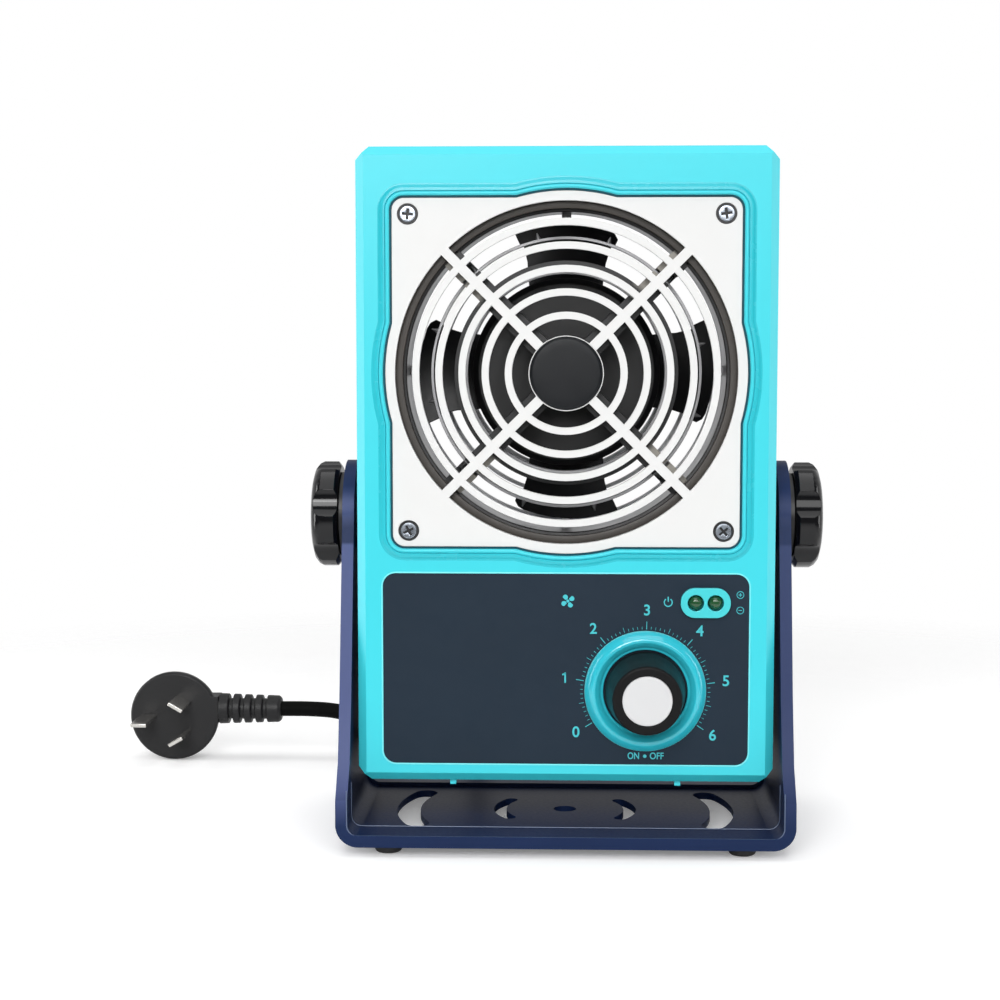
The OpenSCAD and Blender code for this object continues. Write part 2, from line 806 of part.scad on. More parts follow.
// ---- Controls ----

module control_label() {
    color([0.17, 0.22, 0.27]) difference() {
        translate([0, 0, label_z]) along_y(label_y, label_y + label_t)
            round_rect(label_w - fit, label_h - fit, label_corner_r - fit / 2);
        translate([dial_x, 0, dial_z]) along_y(front_y, face_y) circle(bushing_r + 0.2);
        for (s = [-0.5, 0.5]) translate([led_x + s * led_pitch, 0, led_z])
            along_y(front_y, face_y) circle(led_r + 0.2);
    }
}

module dial_ring() {
    inner = knob_r + 0.6;
    color([0.2, 0.8, 0.87]) translate([dial_x, label_y, dial_z]) turned_y()
        polygon([
            [inner, 0], [dial_r, 0], [dial_r, -1], [dial_r - 0.5, -1.5], [dial_r - 1.2, -2.6],
            [dial_r - 2.4, -3.5], [dial_r - 3.4, -3.6], [inner + 1.6, -2.6], [inner + 0.8, -1.6],
            [inner, -1.4]
        ]);
}

module led_bezel() {
    color([0.45, 0.85, 0.85]) translate([led_x, 0, led_z]) difference() {
        along_y(label_y - led_bezel_t, label_y) round_rect(led_bezel_w, led_bezel_h, led_bezel_h / 2 - 0.2);
        for (s = [-0.5, 0.5]) translate([s * led_pitch, 0, 0])
            along_y(label_y - led_bezel_t - cut, label_y + cut) circle(led_r + 0.2);
    }
}

// A lamp with a domed front, a collar behind the face and two legs to the board
module led() {
    dome_y = label_y - led_bezel_t - 0.6;
    turned_y() polygon([
        [0, dome_y], [1.2, dome_y + 0.2], [led_r - 0.3, dome_y + 1.2], [led_r, dome_y + 2.4],
        [led_r, face_y], [led_r + 0.4, face_y], [led_r + 0.4, face_y + 1], [0, face_y + 1]
    ]);
    for (x = [-1.27, 1.27]) translate([x, 0, 0]) along_y(face_y + 0.5, board_y) circle(0.3, $fn = 16);
}

module power_led() {
    color([0.1, 0.35, 0.15]) translate([led_x - led_pitch / 2, 0, led_z]) led();
}

module ion_led() {
    color([0.1, 0.35, 0.15]) translate([led_x + led_pitch / 2, 0, led_z]) led();
}

module control_board() {
    color([0.1, 0.35, 0.2]) difference() {
        along_y(board_y, board_y + board_t) translate([-board_x - 5, head_z + wall + 1])
            square([2 * board_x + 10, led_z + 4 - head_z - wall - 1]);
        translate([dial_x, 0, dial_z]) along_y(board_y - cut, board_y + board_t + cut) circle(pot_r + 0.6);
        for (x = [-board_x, board_x], z = [board_low, board_high])
            along_y(board_y - cut, board_y + board_t + cut) translate([x, head_z + z]) circle(1.2);
    }
}

module board_screws() {
    color("silver") for (x = [-board_x, board_x], z = [board_low, board_high])
        translate([x, board_y + board_t, head_z + z]) {
            along_y(0, 1.6) circle(2.2);
            along_y(-7, 0.5) circle(1.05);
        }
}

module potentiometer() {
    color([0.5, 0.5, 0.52]) translate([dial_x, 0, dial_z]) difference() {
        union() {
            along_y(face_y, face_y + pot_l) circle(pot_r);
            along_y(label_y - 3, face_y + 1) circle(bushing_r);
        }
        along_y(label_y - 3 - cut, face_y + pot_l - 2) circle(pot_shaft_r + running);
    }
}

module pot_nut() {
    color("silver") translate([dial_x, 0, dial_z]) along_y(label_y - 2, label_y) difference() {
        circle(5.6, $fn = 6);
        circle(bushing_r + 0.02);
    }
}

module pot_shaft() {
    color("silver") translate([dial_x, 0, dial_z])
        along_y(knob_front_y + knob_bore_y + 0.2, face_y + pot_l - 2.3) circle(pot_shaft_r);
}

module speed_knob() {
    tip_r = knob_r - 2;
    color([0.06, 0.06, 0.07]) translate([dial_x, 0, dial_z]) difference() {
        turned_y() polygon([
            [0, knob_front_y + 1], [knob_cap_r, knob_front_y + 1], [knob_cap_r, knob_front_y],
            [tip_r - 1.2, knob_front_y], [tip_r - 0.3, knob_front_y + 0.3], [tip_r, knob_front_y + 1.2],
            [knob_r, knob_y - 1.5], [knob_r, knob_y], [8, knob_y], [8, knob_y - 4], [0, knob_y - 4]
        ]);
        along_y(knob_front_y + knob_bore_y, knob_y) circle(pot_shaft_r + push);
    }
}

module knob_cap() {
    color([0.93, 0.93, 0.92]) translate([dial_x, 0, dial_z]) turned_y()
        polygon([
            [0, knob_front_y + 1], [knob_cap_r - 0.1, knob_front_y + 1], [knob_cap_r - 0.1, knob_front_y],
            [knob_cap_r - 0.7, knob_front_y + 1 - knob_cap_t], [0, knob_front_y + 0.8 - knob_cap_t]
        ]);
}

// ---- Inside the head ----

module power_module() {
    color([0.2, 0.2, 0.22]) translate([13 - head_w / 2, seam_y + 10, head_z + wall]) {
        cube([power_w, module_d, power_t]);
        translate([3, 3, power_t]) cube([power_w / 2 - 2, module_d - 6, 14]);
        translate([power_w - 20, 5, power_t]) cube([8, 8, 12]);
        translate([power_w - 9, module_d / 2, power_t]) cylinder(r = 5, h = 13);
    }
}

module hv_module() {
    color([0.12, 0.12, 0.14]) translate([head_w / 2 - 12 - hv_w, seam_y + 10, head_z + wall])
        difference() {
            cube([hv_w, module_d, hv_h]);
            translate([2, -cut, hv_h - 6]) cube([hv_w - 4, 3 + cut, 6 + cut]);
        }
}

module hv_lead() {
    base = head_z + wall + hv_h;
    color([0.75, 0.1, 0.1]) tube([
        [20, seam_y + 24, base], [20, seam_y + 24, base + 6], [20, seam_y + 20, base + 14],
        [19, seam_y + 11, base + 24], [17, seam_y + 4, base + 33], [12, seam_y - 1, lead_top_z - 12],
        [7, face_y + 12, lead_top_z - 8], [2, face_y + 9, lead_top_z - 5],
        [0, face_y + 8, lead_top_z - 3], [0, face_y + 8, lead_top_z - 0.3]
    ], hv_lead_r, [1, 0, 0], 8);
}

// ---- Tilt pivot ----

module pivot_inserts() {
    color([0.75, 0.6, 0.3]) for (s = [-1, 1]) mirror([s < 0 ? 1 : 0, 0, 0])
        translate([insert_in_x, 0, pivot_z]) rotate([0, 90, 0]) difference() {
            cylinder(r = insert_r - 0.02, h = insert_l);
            translate([0, 0, 1]) cylinder(r = stud_r + running, h = insert_l);
        }
}

module pivot_washers() {
    color([0.1, 0.1, 0.1]) for (s = [-1, 1]) mirror([s < 0 ? 1 : 0, 0, 0])
        translate([head_w / 2, 0, pivot_z]) rotate([0, 90, 0]) difference() {
            cylinder(r = 12, h = arm_gap - slip);
            translate([0, 0, -cut]) cylinder(r = stud_r + 0.2, h = arm_gap + 2 * cut);
        }
}

// Knob drawn for the right side, its axis along X
module clamp_knob() {
    translate([clamp_x, 0, pivot_z]) rotate([0, 90, 0]) difference() {
        intersection() {
            rotate_extrude() polygon([
                [0, 0], [clamp_r - 1.6, 0], [clamp_r, 1.2], [clamp_r, clamp_t - 3.6],
                [clamp_r - 0.7, clamp_t - 2.2], [clamp_r - 2.2, clamp_t - 1],
                [clamp_r - 4.6, clamp_t - 0.3], [8, clamp_t], [7, clamp_t - 1], [0, clamp_t - 1]
            ]);
            translate([0, 0, -cut]) linear_extrude(clamp_t + 2 * cut) difference() {
                circle(clamp_r + cut);
                for (turn = [13:60:313]) rotate(turn) translate([clamp_r + 6.2, 0]) circle(8.2);
            }
        }
        translate([0, 0, -cut]) cylinder(r = stud_r + push, h = clamp_t - 3 + cut);
    }
}

module clamp_stud() {
    translate([insert_in_x + 1.6, 0, pivot_z]) rotate([0, 90, 0])
        cylinder(r = stud_r, h = clamp_x + clamp_t - 3.2 - insert_in_x - 1.6);
}

module clamp_washer() {
    translate([arm_out_x + slip / 2, 0, pivot_z]) rotate([0, 90, 0]) difference() {
        cylinder(r = clamp_washer_r, h = clamp_washer_t);
        translate([0, 0, -cut]) cylinder(r = stud_r + push, h = clamp_washer_t + 2 * cut);
    }
}

module right_clamp_knob() { color([0.06, 0.06, 0.07]) clamp_knob(); }
module right_clamp_stud() { color("silver") clamp_stud(); }
module right_clamp_washer() { color("silver") clamp_washer(); }
module left_clamp_knob() { color([0.06, 0.06, 0.07]) mirror([1, 0, 0]) clamp_knob(); }
module left_clamp_stud() { color("silver") mirror([1, 0, 0]) clamp_stud(); }
module left_clamp_washer() { color("silver") mirror([1, 0, 0]) clamp_washer(); }

// ---- Mains lead ----

// Strain relief with a flange on the rear wall and ribs along its taper
module cord_gland() {
    end = relief_l;
    color([0.08, 0.08, 0.09]) translate([outlet_x, rear_y, outlet_z]) turned_y()
        polygon([
            [0, -6], [6, -6], [6, -wall - 0.1], [4.9, -wall - 0.1], [4.9, 0], [8, 0], [8, 1.4], [7.4, 2],
            [5.6, 2], [5.5, 6], [4.7, 6], [4.7, 7.4], [5.3, 7.4], [5.1, 11], [4.4, 11], [4.4, 12.4],
            [4.9, 12.4], [4.7, 16], [4.1, 16], [4.1, 17.4], [4.5, 17.4], [4, end], [0, end]
        ]);
}

module cord_lead() { color([0.08, 0.08, 0.09]) tube(LEAD_ROUTE, cord_r, [1, 0, 0], 10); }
module cord_tail() { color([0.08, 0.08, 0.09]) tube(TAIL_ROUTE, cord_r, [0, 0, 1], 10); }

// Three turns wide and two layers high
module cord_coil() {
    color([0.08, 0.08, 0.09]) translate([coil_x, coil_y, 0]) rotate_extrude($fn = 96)
        translate([coil_mid_r, coil_h / 2]) round_rect(2 * coil_half_w, coil_h, 3);
}

module plug_body() {
    color([0.08, 0.08, 0.09]) translate([plug_x, plug_y, plug_z]) {
        turned_y() polygon([
            [0, 0], [plug_r - 0.8, 0], [plug_r, 0.8], [plug_r, 3], [plug_r - 1.2, 4],
            [plug_r - 1.6, 8], [plug_r - 5, plug_t], [0, plug_t]
        ]);
        along_y(0, 10) translate([8, -3]) square([plug_relief_x - plug_relief_l - plug_x - 8, 11]);
    }
}

// Flat blades: the earth blade lies along the radius, the other two at 30 degrees to it
module plug_pins() {
    w = 6.3;
    t = 1.5;
    color([0.8, 0.8, 0.78]) translate([plug_x, plug_y, plug_z])
        for (b = [[-10.3, 0, 0, 20], [4, 6.9, 30, 18], [4, -6.9, -30, 18]])
            translate([b[0], -b[3], b[1]]) rotate([0, b[2], 0])
                translate([-w / 2, 0, -t / 2]) cube([w, b[3], t]);
}

module plug_relief() {
    l = plug_relief_l;
    color([0.08, 0.08, 0.09]) translate([plug_relief_x - l, plug_cord_y, plug_cord_z]) rotate([0, 90, 0])
        difference() {
            rotate_extrude() polygon([[0, 0], [6.2, 0], [5.4, l - 1], [4.4, l], [0, l]]);
            for (x = [4:4.6:19]) translate([0, 0, x]) difference() {
                cylinder(r = 8, h = 1.8);
                translate([0, 0, -cut]) cylinder(r = 4.2, h = 1.8 + 2 * cut);
            }
        }
}

stand_bracket();
stand_feet();
front_bezel();
rear_housing();
housing_screws();
front_guard();
guard_cap();
guard_washers();
guard_screws();
rear_guard();
rear_guard_screws();
emitter_carrier();
emitter_ring();
emitter_needles();
counter_ring();
fan_frame();
fan_stator();
fan_bearings();
impeller();
rotor_magnet();
rotor_shaft();
control_label();
dial_ring();
led_bezel();
power_led();
ion_led();
control_board();
board_screws();
potentiometer();
pot_nut();
pot_shaft();
speed_knob();
knob_cap();
power_module();
hv_module();
hv_lead();
pivot_inserts();
pivot_washers();
left_clamp_knob();
left_clamp_stud();
left_clamp_washer();
right_clamp_knob();
right_clamp_stud();
right_clamp_washer();
cord_gland();
cord_lead();
cord_coil();
cord_tail();
plug_body();
plug_pins();
plug_relief();
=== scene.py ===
"""Looks of the ionizing blower. Metres, in the frame of its construction: X right, Y back, Z up."""
import math

import bmesh
import bpy
from mathutils import Matrix, Vector

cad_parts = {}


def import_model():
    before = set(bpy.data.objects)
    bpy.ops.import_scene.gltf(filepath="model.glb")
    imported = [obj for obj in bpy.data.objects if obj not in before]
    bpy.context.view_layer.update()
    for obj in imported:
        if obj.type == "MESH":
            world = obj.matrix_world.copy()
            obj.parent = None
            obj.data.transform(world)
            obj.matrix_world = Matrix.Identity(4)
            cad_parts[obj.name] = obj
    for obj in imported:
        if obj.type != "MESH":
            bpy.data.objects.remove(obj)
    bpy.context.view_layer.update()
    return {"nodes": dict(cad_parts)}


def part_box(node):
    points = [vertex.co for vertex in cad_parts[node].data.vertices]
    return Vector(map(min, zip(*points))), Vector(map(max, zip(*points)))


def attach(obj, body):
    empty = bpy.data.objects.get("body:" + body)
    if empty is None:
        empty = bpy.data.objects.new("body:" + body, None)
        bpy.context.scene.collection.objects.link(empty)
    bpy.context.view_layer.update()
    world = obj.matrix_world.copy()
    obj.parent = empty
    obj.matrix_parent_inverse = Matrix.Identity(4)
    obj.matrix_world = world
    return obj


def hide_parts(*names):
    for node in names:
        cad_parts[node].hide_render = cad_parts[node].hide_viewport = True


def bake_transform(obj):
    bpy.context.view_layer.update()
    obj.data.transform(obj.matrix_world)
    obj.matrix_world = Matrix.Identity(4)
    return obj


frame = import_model()
NODES = frame["nodes"]
MM = 0.001

# ---- Camera ----

cam_data = bpy.data.cameras.new("camera")
cam_data.lens = 68.4
cam_data.sensor_width = 36
cam_data.clip_start = 0.01
camera = bpy.data.objects.new("camera", cam_data)
camera.location = (0, -0.660, 0.1703)
camera.rotation_euler = (math.radians(85.2), 0, math.radians(1.99))
bpy.context.collection.objects.link(camera)
bpy.context.scene.camera = camera

# ---- Places and sizes, read from the frame ----


def node_box(node):
    low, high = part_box(node)
    return Vector(low), Vector(high)


def node_centre(node):
    low, high = node_box(node)
    return (low + high) / 2


GUARD_LOW, GUARD_HIGH = node_box("front_guard")
FAN_Z = node_centre("front_guard").z
LABEL_LOW, LABEL_HIGH = node_box("control_label")
LABEL_Y = LABEL_LOW.y
DIAL = Vector((node_centre("dial_ring").x, LABEL_Y, node_centre("dial_ring").z))
PLATE_W = 115.6 * MM
PLATE_CORNER = 4 * MM
BULGE_R = (GUARD_HIGH.x - GUARD_LOW.x) / 2
SCREW_PITCH = 105 * MM
CORD_D = 6.2 * MM
INK = 0.04 * MM

# ---- Materials ----


class Shader:
    """A material's node tree with short ways to add and join nodes."""

    def __init__(self, name):
        self.material = bpy.data.materials.new(name)
        self.material.use_nodes = True
        self.tree = self.material.node_tree
        self.bsdf = self.tree.nodes["Principled BSDF"]
        self.place = self.add("ShaderNodeTexCoord").outputs["Object"]

    def add(self, kind, **values):
        node = self.tree.nodes.new(kind)
        for key, value in values.items():
            if hasattr(node, key):
                setattr(node, key, value)
            else:
                self.put(node, key.replace("_", " ").title(), value)
        return node

    def put(self, node, socket, value):
        target = node.inputs[socket]
        if isinstance(value, bpy.types.NodeSocket):
            self.tree.links.new(value, target)
        else:
            target.default_value = value

    def surface(self, **values):
        for key, value in values.items():
            self.put(self.bsdf, key.replace("_", " "), value)

    def noise(self, scale, detail=3, place=None):
        node = self.add("ShaderNodeTexNoise")
        self.put(node, "Vector", place or self.place)
        self.put(node, "Scale", scale)
        self.put(node, "Detail", detail)
        return node.outputs["Fac"]

    def spread(self, value, low, high, to_low=0.0, to_high=1.0):
        node = self.add("ShaderNodeMapRange")
        for socket, v in (("Value", value), ("From Min", low), ("From Max", high),
                          ("To Min", to_low), ("To Max", to_high)):
            self.put(node, socket, v)
        return node.outputs["Result"]

    def mix(self, share, a, b):
        node = self.add("ShaderNodeMix", data_type="RGBA")
        self.put(node, "Factor", share)
        for socket, v in (("A", a), ("B", b)):
            target = [s for s in node.inputs if s.name == socket and s.type == "RGBA"][0]
            if isinstance(v, bpy.types.NodeSocket):
                self.tree.links.new(v, target)
            else:
                target.default_value = v
        return [s for s in node.outputs if s.type == "RGBA"][0]

    def maths(self, operation, a, b=0.0):
        node = self.add("ShaderNodeMath", operation=operation)
        for i, v in enumerate((a, b)):
            if isinstance(v, bpy.types.NodeSocket):
                self.tree.links.new(v, node.inputs[i])
            else:
                node.inputs[i].default_value = v
        return node.outputs[0]

    def bump(self, height, depth, strength=1.0, under=None):
        node = self.add("ShaderNodeBump")
        self.put(node, "Height", height)
        self.put(node, "Distance", depth)
        self.put(node, "Strength", strength)
        if under:
            self.put(node, "Normal", under)
        return node.outputs["Normal"]


def srgb(r, g, b):
    """Linear colour of an 8-bit one."""
    def channel(v):
        v /= 255
        return v / 12.92 if v <= 0.04045 else ((v + 0.055) / 1.055) ** 2.4
    return (channel(r), channel(g), channel(b), 1)


def darker(colour, share):
    return tuple(c * share for c in colour[:3]) + (1,)


def moulded(name, colour, rough, grain=0.0, grain_scale=3000, vary=0.9, specular=0.5, coat=0.0,
            streaky=0.12):
    """Moulded plastic: a fine grain, slow flow marks in gloss and a trace of uneven pigment."""
    s = Shader(name)
    cloud = s.noise(28, 4)
    fine = s.noise(grain_scale, 2)
    streak = s.noise(160, 5)
    s.surface(
        Base_Color=s.mix(s.spread(cloud, 0.3, 0.7), colour, darker(colour, vary)),
        Roughness=s.spread(streak, 0.3, 0.7, rough * (1 - streaky), min(1.0, rough * (1 + streaky))),
        Coat_Weight=coat, Coat_Roughness=0.08)
    s.put(s.bsdf, "Specular IOR Level", specular)
    s.surface(Normal=s.bump(fine, max(grain, 0.001) * MM))
    return s.material


def painted(name, colour, rough, peel=0.02, specular=0.5):
    """Powder coat: an even orange peel and a slight change of tone."""
    s = Shader(name)
    peel_marks = s.noise(900, 2)
    cloud = s.noise(20, 3)
    s.surface(
        Base_Color=s.mix(s.spread(cloud, 0.3, 0.7), colour, darker(colour, 0.88)),
        Roughness=s.spread(peel_marks, 0.2, 0.8, rough * 0.9, rough * 1.1),
        Normal=s.bump(peel_marks, peel * MM))
    s.put(s.bsdf, "Specular IOR Level", specular)
    return s.material


def metal(name, colour, rough, grain=0.01, scale=1500, cloudy=0.8):
    s = Shader(name)
    cloud = s.noise(90, 5)
    fine = s.noise(scale, 3)
    s.surface(
        Base_Color=s.mix(s.spread(cloud, 0.3, 0.7), colour, darker(colour, cloudy)),
        Metallic=1.0,
        Roughness=s.spread(cloud, 0.3, 0.7, rough * 0.8, rough * 1.2),
        Normal=s.bump(fine, grain * MM))
    return s.material


BEZEL = moulded("turquoise_moulding", srgb(62, 208, 221), 0.32, grain=0.004, vary=0.992, specular=0.35,
                streaky=0.02)
HOUSING = moulded("navy_moulding", srgb(38, 52, 86), 0.42, grain=0.012, grain_scale=1600)
GUARD = moulded("white_moulding", srgb(224, 224, 223), 0.4, vary=0.99, specular=0.25)
GLOSS_BLACK = moulded("polished_black", (0.004, 0.004, 0.005, 1), 0.12, grain=0.001, specular=0.4)
KNOB_BLACK = moulded("knob_black", (0.012, 0.012, 0.0125, 1), 0.34, grain=0.002, specular=0.2)
# Less reflection at a slant, so that the knob's side stays dark beside the bowl
KNOB_BLACK.node_tree.nodes["Principled BSDF"].inputs["IOR"].default_value = 1.25
BLACK = moulded("black_moulding", (0.010, 0.010, 0.011, 1), 0.42, grain=0.008, grain_scale=1800)
HUB_BLACK = moulded("satin_black_hub", srgb(24, 26, 29), 0.4, grain=0.004, specular=0.22)
BLADE = moulded("blade_black", (0.007, 0.007, 0.008, 1), 0.4, grain=0.004)
RUBBER = moulded("black_rubber", (0.016, 0.016, 0.017, 1), 0.6, grain=0.02, grain_scale=1200)
SHEATH = moulded("lead_sheath", (0.004, 0.004, 0.004, 1), 0.6, grain=0.006, specular=0.05)
PLUG = moulded("plug_moulding", (0.014, 0.014, 0.015, 1), 0.45, grain=0.012, grain_scale=1500, specular=0.3)


def stand_coat():
    """Navy powder coat, with light painted on the cut front edges of the arms: a paler violet tone, stronger
    on the left arm, and a painted highlight band about 114 mm up.
    """
    s = Shader("navy_powder_coat")
    normal = s.add("ShaderNodeSeparateXYZ")
    s.put(normal, "Vector", s.add("ShaderNodeTexCoord").outputs["Normal"])
    part = s.add("ShaderNodeSeparateXYZ")
    s.put(part, "Vector", s.place)
    ahead = s.spread(s.maths("MULTIPLY", normal.outputs["Y"], -1.0), 0.5, 0.9)
    arm = s.spread(s.maths("ABSOLUTE", part.outputs["X"]), 71 * MM, 72 * MM)
    # The left arm gets more of the painted light than the right one.
    side = s.spread(part.outputs["X"], -10 * MM, 10 * MM, 1.0, 0.3)
    height = part.outputs["Z"]
    shank = s.maths("MULTIPLY", s.spread(height, 10 * MM, 22 * MM), s.spread(height, 102 * MM, 101 * MM))
    # A painted highlight band across the arms' fronts at 114 mm height.
    painted_highlight_band = s.spread(s.maths("ABSOLUTE", s.maths("SUBTRACT", height, 114 * MM)), 7 * MM, 1 * MM, 0.0, 0.75)
    arm_front = s.maths("MULTIPLY", ahead, arm)
    # edge is the share of painted light: the arms' front faces from 10 to 102 mm up, plus the highlight band.
    edge = s.maths("MULTIPLY", arm_front, s.maths("MULTIPLY", side, s.maths("ADD", shank, painted_highlight_band)))
    peel = s.noise(900, 2)
    tone = s.mix(s.spread(s.noise(20, 3), 0.3, 0.7), srgb(26, 42, 78), darker(srgb(26, 42, 78), 0.88))
    s.surface(Base_Color=s.mix(edge, tone, srgb(74, 84, 126)), Normal=s.bump(peel, 0.02 * MM),
              Roughness=s.spread(peel, 0.2, 0.8, 0.36, 0.44))
    s.put(s.bsdf, "IOR", 1.22)
    return s.material


STAND = stand_coat()
# Pale navy for the painted highlight lines along the stand's rim.
EDGE_HIGHLIGHT_NAVY = painted("painted_edge_highlight_navy", srgb(92, 106, 134), 0.35)
WIRE = painted("white_wire_coat", srgb(225, 226, 228), 0.35, peel=0.008)
STEEL = metal("zinc_steel", (0.62, 0.62, 0.63, 1), 0.28)
SCREW_STEEL = metal("bright_screw_steel", (0.42, 0.46, 0.52, 1), 0.3)
ELECTRODE = metal("electrode_steel", (0.4, 0.4, 0.41, 1), 0.45)
CAST = metal("die_cast", (0.52, 0.52, 0.53, 1), 0.35, grain=0.02, scale=900)
BRASS = metal("turned_brass", (0.72, 0.52, 0.24, 1), 0.3)
PIN_METAL = metal("plated_pins", (0.78, 0.76, 0.72, 1), 0.22)
MAGNET = metal("sintered_magnet", (0.12, 0.115, 0.11, 1), 0.6, grain=0.03)
COPPER = metal("enamelled_copper", (0.65, 0.28, 0.11, 1), 0.4)
BOWL = moulded("turquoise_gloss", srgb(50, 192, 210), 0.16, vary=0.97, specular=0.4, coat=0.8)
KNOB_WHITE = moulded("white_knob_cap", srgb(208, 208, 209), 0.36, vary=0.985, specular=0.3)
# A lighter turquoise for painted highlights on thin edges.
EDGE_HIGHLIGHT = moulded("painted_turquoise_highlight", srgb(120, 232, 240), 0.25, vary=0.98, specular=0.4)
# A darker turquoise for the painted shade on the guard's sloped band, the same moulding as the bezel.
SHADED_BAND = moulded("turquoise_band_painted_shade", srgb(46, 190, 204), 0.26, vary=0.97, specular=0.4)
# Dark teal for the painted shadow in the gap round the guard.
GAP_SHADOW_TEAL = moulded("painted_gap_shadow", srgb(16, 78, 92), 0.5, specular=0.2)
LABEL = moulded("label_film", srgb(26, 41, 55), 0.55, grain=0.012, grain_scale=2200, vary=0.92, specular=0.2)
PRINT = moulded("turquoise_print", srgb(60, 190, 200), 0.5, vary=0.97)
LAMP_FRAME = moulded("lamp_frame_moulding", srgb(74, 208, 214), 0.2, specular=0.4)
LAMP = moulded("green_lamp", (0.012, 0.075, 0.022, 1), 0.1, coat=0.6)
BOARD = moulded("circuit_board", (0.01, 0.09, 0.035, 1), 0.35, grain=0.01)
MODULE = moulded("module_black", (0.02, 0.02, 0.022, 1), 0.5, grain=0.02)
RED_LEAD = moulded("red_insulation", (0.35, 0.01, 0.01, 1), 0.4)


def carrier_black():
    """Black moulding whose arms carry a painted pale highlight along one flank, the lit side of each arm."""
    s = Shader("carrier_black")
    part = s.add("ShaderNodeSeparateXYZ")
    s.put(part, "Vector", s.place)
    height = s.maths("SUBTRACT", part.outputs["Z"], FAN_Z)
    turn = s.maths("FRACT", s.maths("DIVIDE", s.maths("ARCTAN2", height, part.outputs["X"]), math.pi / 2))
    # Painted highlight on one flank of each arm, from 37 mm out.
    painted_flank_light = s.maths("MULTIPLY", s.spread(turn, 0.505, 0.515), s.spread(turn, 0.6, 0.58))
    reach = s.maths("SQRT", s.maths("ADD", s.maths("MULTIPLY", height, height),
                                    s.maths("MULTIPLY", part.outputs["X"], part.outputs["X"])))
    painted_flank_light = s.maths("MULTIPLY", painted_flank_light, s.spread(reach, 36.5 * MM, 38.5 * MM))
    rim = s.spread(reach, 53.5 * MM, 54.5 * MM)
    arm = s.mix(painted_flank_light, (0.009, 0.009, 0.010, 1), srgb(150, 146, 138))
    s.surface(Base_Color=s.mix(rim, arm, srgb(52, 49, 46)), Roughness=0.42)
    s.surface(Normal=s.bump(s.noise(1800, 2), 0.008 * MM))
    return s.material


CARRIER = carrier_black()
DUCT_BROWN = moulded("duct_brown_grey", srgb(62, 57, 52), 0.5, grain=0.03, grain_scale=900, vary=0.7)

# Nodes that keep their own form and only get a finish
CAD_FINISH = {
    STEEL: ["housing_screws", "board_screws", "potentiometer", "pot_nut", "pot_shaft", "fan_bearings",
            "rotor_shaft", "left_clamp_stud", "right_clamp_stud"],
    BOARD: ["control_board"], MODULE: ["power_module", "hv_module"], RED_LEAD: ["hv_lead"],
    BRASS: ["pivot_inserts"], RUBBER: ["pivot_washers"], MAGNET: ["rotor_magnet"], COPPER: ["fan_stator"],
}
for finish, names in CAD_FINISH.items():
    for name in names:
        NODES[name].data.materials.clear()
        NODES[name].data.materials.append(finish)

# ---- Making pieces ----


def piece(bm, name, material, body, nodes=(), smooth_angle=32):
    """A finished piece from a mesh whose place is already in it."""
    bmesh.ops.remove_doubles(bm, verts=bm.verts, dist=1e-7)
    bmesh.ops.recalc_face_normals(bm, faces=bm.faces)
    mesh = bpy.data.meshes.new(name)
    bm.to_mesh(mesh)
    bm.free()
    mesh.materials.append(material)
    mesh.shade_smooth()
    mesh.set_sharp_from_angle(angle=math.radians(smooth_angle))
    obj = bpy.data.objects.new(name, mesh)
    bpy.context.collection.objects.link(obj)
    if body:
        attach(obj, body)
    if nodes:
        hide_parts(*nodes)
    return obj


def weighted(obj):
    """Keeps wide flat faces flat in shading next to small rounded edges."""
    modifier = obj.modifiers.new("weighted_normals", "WEIGHTED_NORMAL")
    modifier.keep_sharp = True
    return obj


def softened(node, name, material, body, width, segments=2, angle=30, tidy=1.0, front=None):
    """The node's own form with rounded edges, with nothing left forward of front where that is given."""
    bm = bmesh.new()
    bm.from_mesh(NODES[node].data)
    if front is not None:
        for vert in bm.verts:
            vert.co.y = max(vert.co.y, front)
    bmesh.ops.remove_doubles(bm, verts=bm.verts, dist=2e-6)
    bmesh.ops.dissolve_limit(bm, angle_limit=math.radians(tidy), verts=bm.verts, edges=bm.edges)
    obj = piece(bm, name, material, body, [node])
    modifier = obj.modifiers.new("rounded_edges", "BEVEL")
    modifier.width = width
    modifier.segments = segments
    modifier.limit_method = "ANGLE"
    modifier.angle_limit = math.radians(angle)
    modifier.use_clamp_overlap = True
    modifier.miter_outer = "MITER_ARC"
    modifier.harden_normals = False
    return weighted(obj)


def turned(bm, profile, centre, axis="Y", steps=96, bevel=0.0, segments=3):
    """Adds a closed profile of (radius, along) turned about an axis through centre."""
    direction = {"X": Vector((1, 0, 0)), "Y": Vector((0, 1, 0)), "Z": Vector((0, 0, 1))}[axis]
    out = Vector((0, 0, 1)) if axis != "Z" else Vector((1, 0, 0))
    centre = Vector(centre)
    verts = [bm.verts.new(centre + out * r + direction * a) for r, a in profile]
    edges = [bm.edges.new((verts[i], verts[(i + 1) % len(verts)])) for i in range(len(verts))]
    edges = [e for e in edges if not all((v.co - centre).cross(direction).length < 1e-7 for v in e.verts)]
    before = set(bm.faces)
    bmesh.ops.spin(bm, geom=verts + edges, cent=centre, axis=direction, angle=math.tau, steps=steps,
                   use_merge=True)
    bmesh.ops.remove_doubles(bm, verts=bm.verts, dist=1e-7)
    wires = [e for e in bm.edges if not e.link_faces]
    bmesh.ops.delete(bm, geom=wires, context="EDGES")
    new = [f for f in bm.faces if f not in before]
    if bevel:
        rims = {e for f in new for e in f.edges if len(e.link_faces) == 2 and e.calc_face_angle(0) > 0.35}
        bmesh.ops.bevel(bm, geom=list(rims), offset=bevel, segments=segments, profile=0.5,
                        affect="EDGES", clamp_overlap=True, material=-1)
    return bm


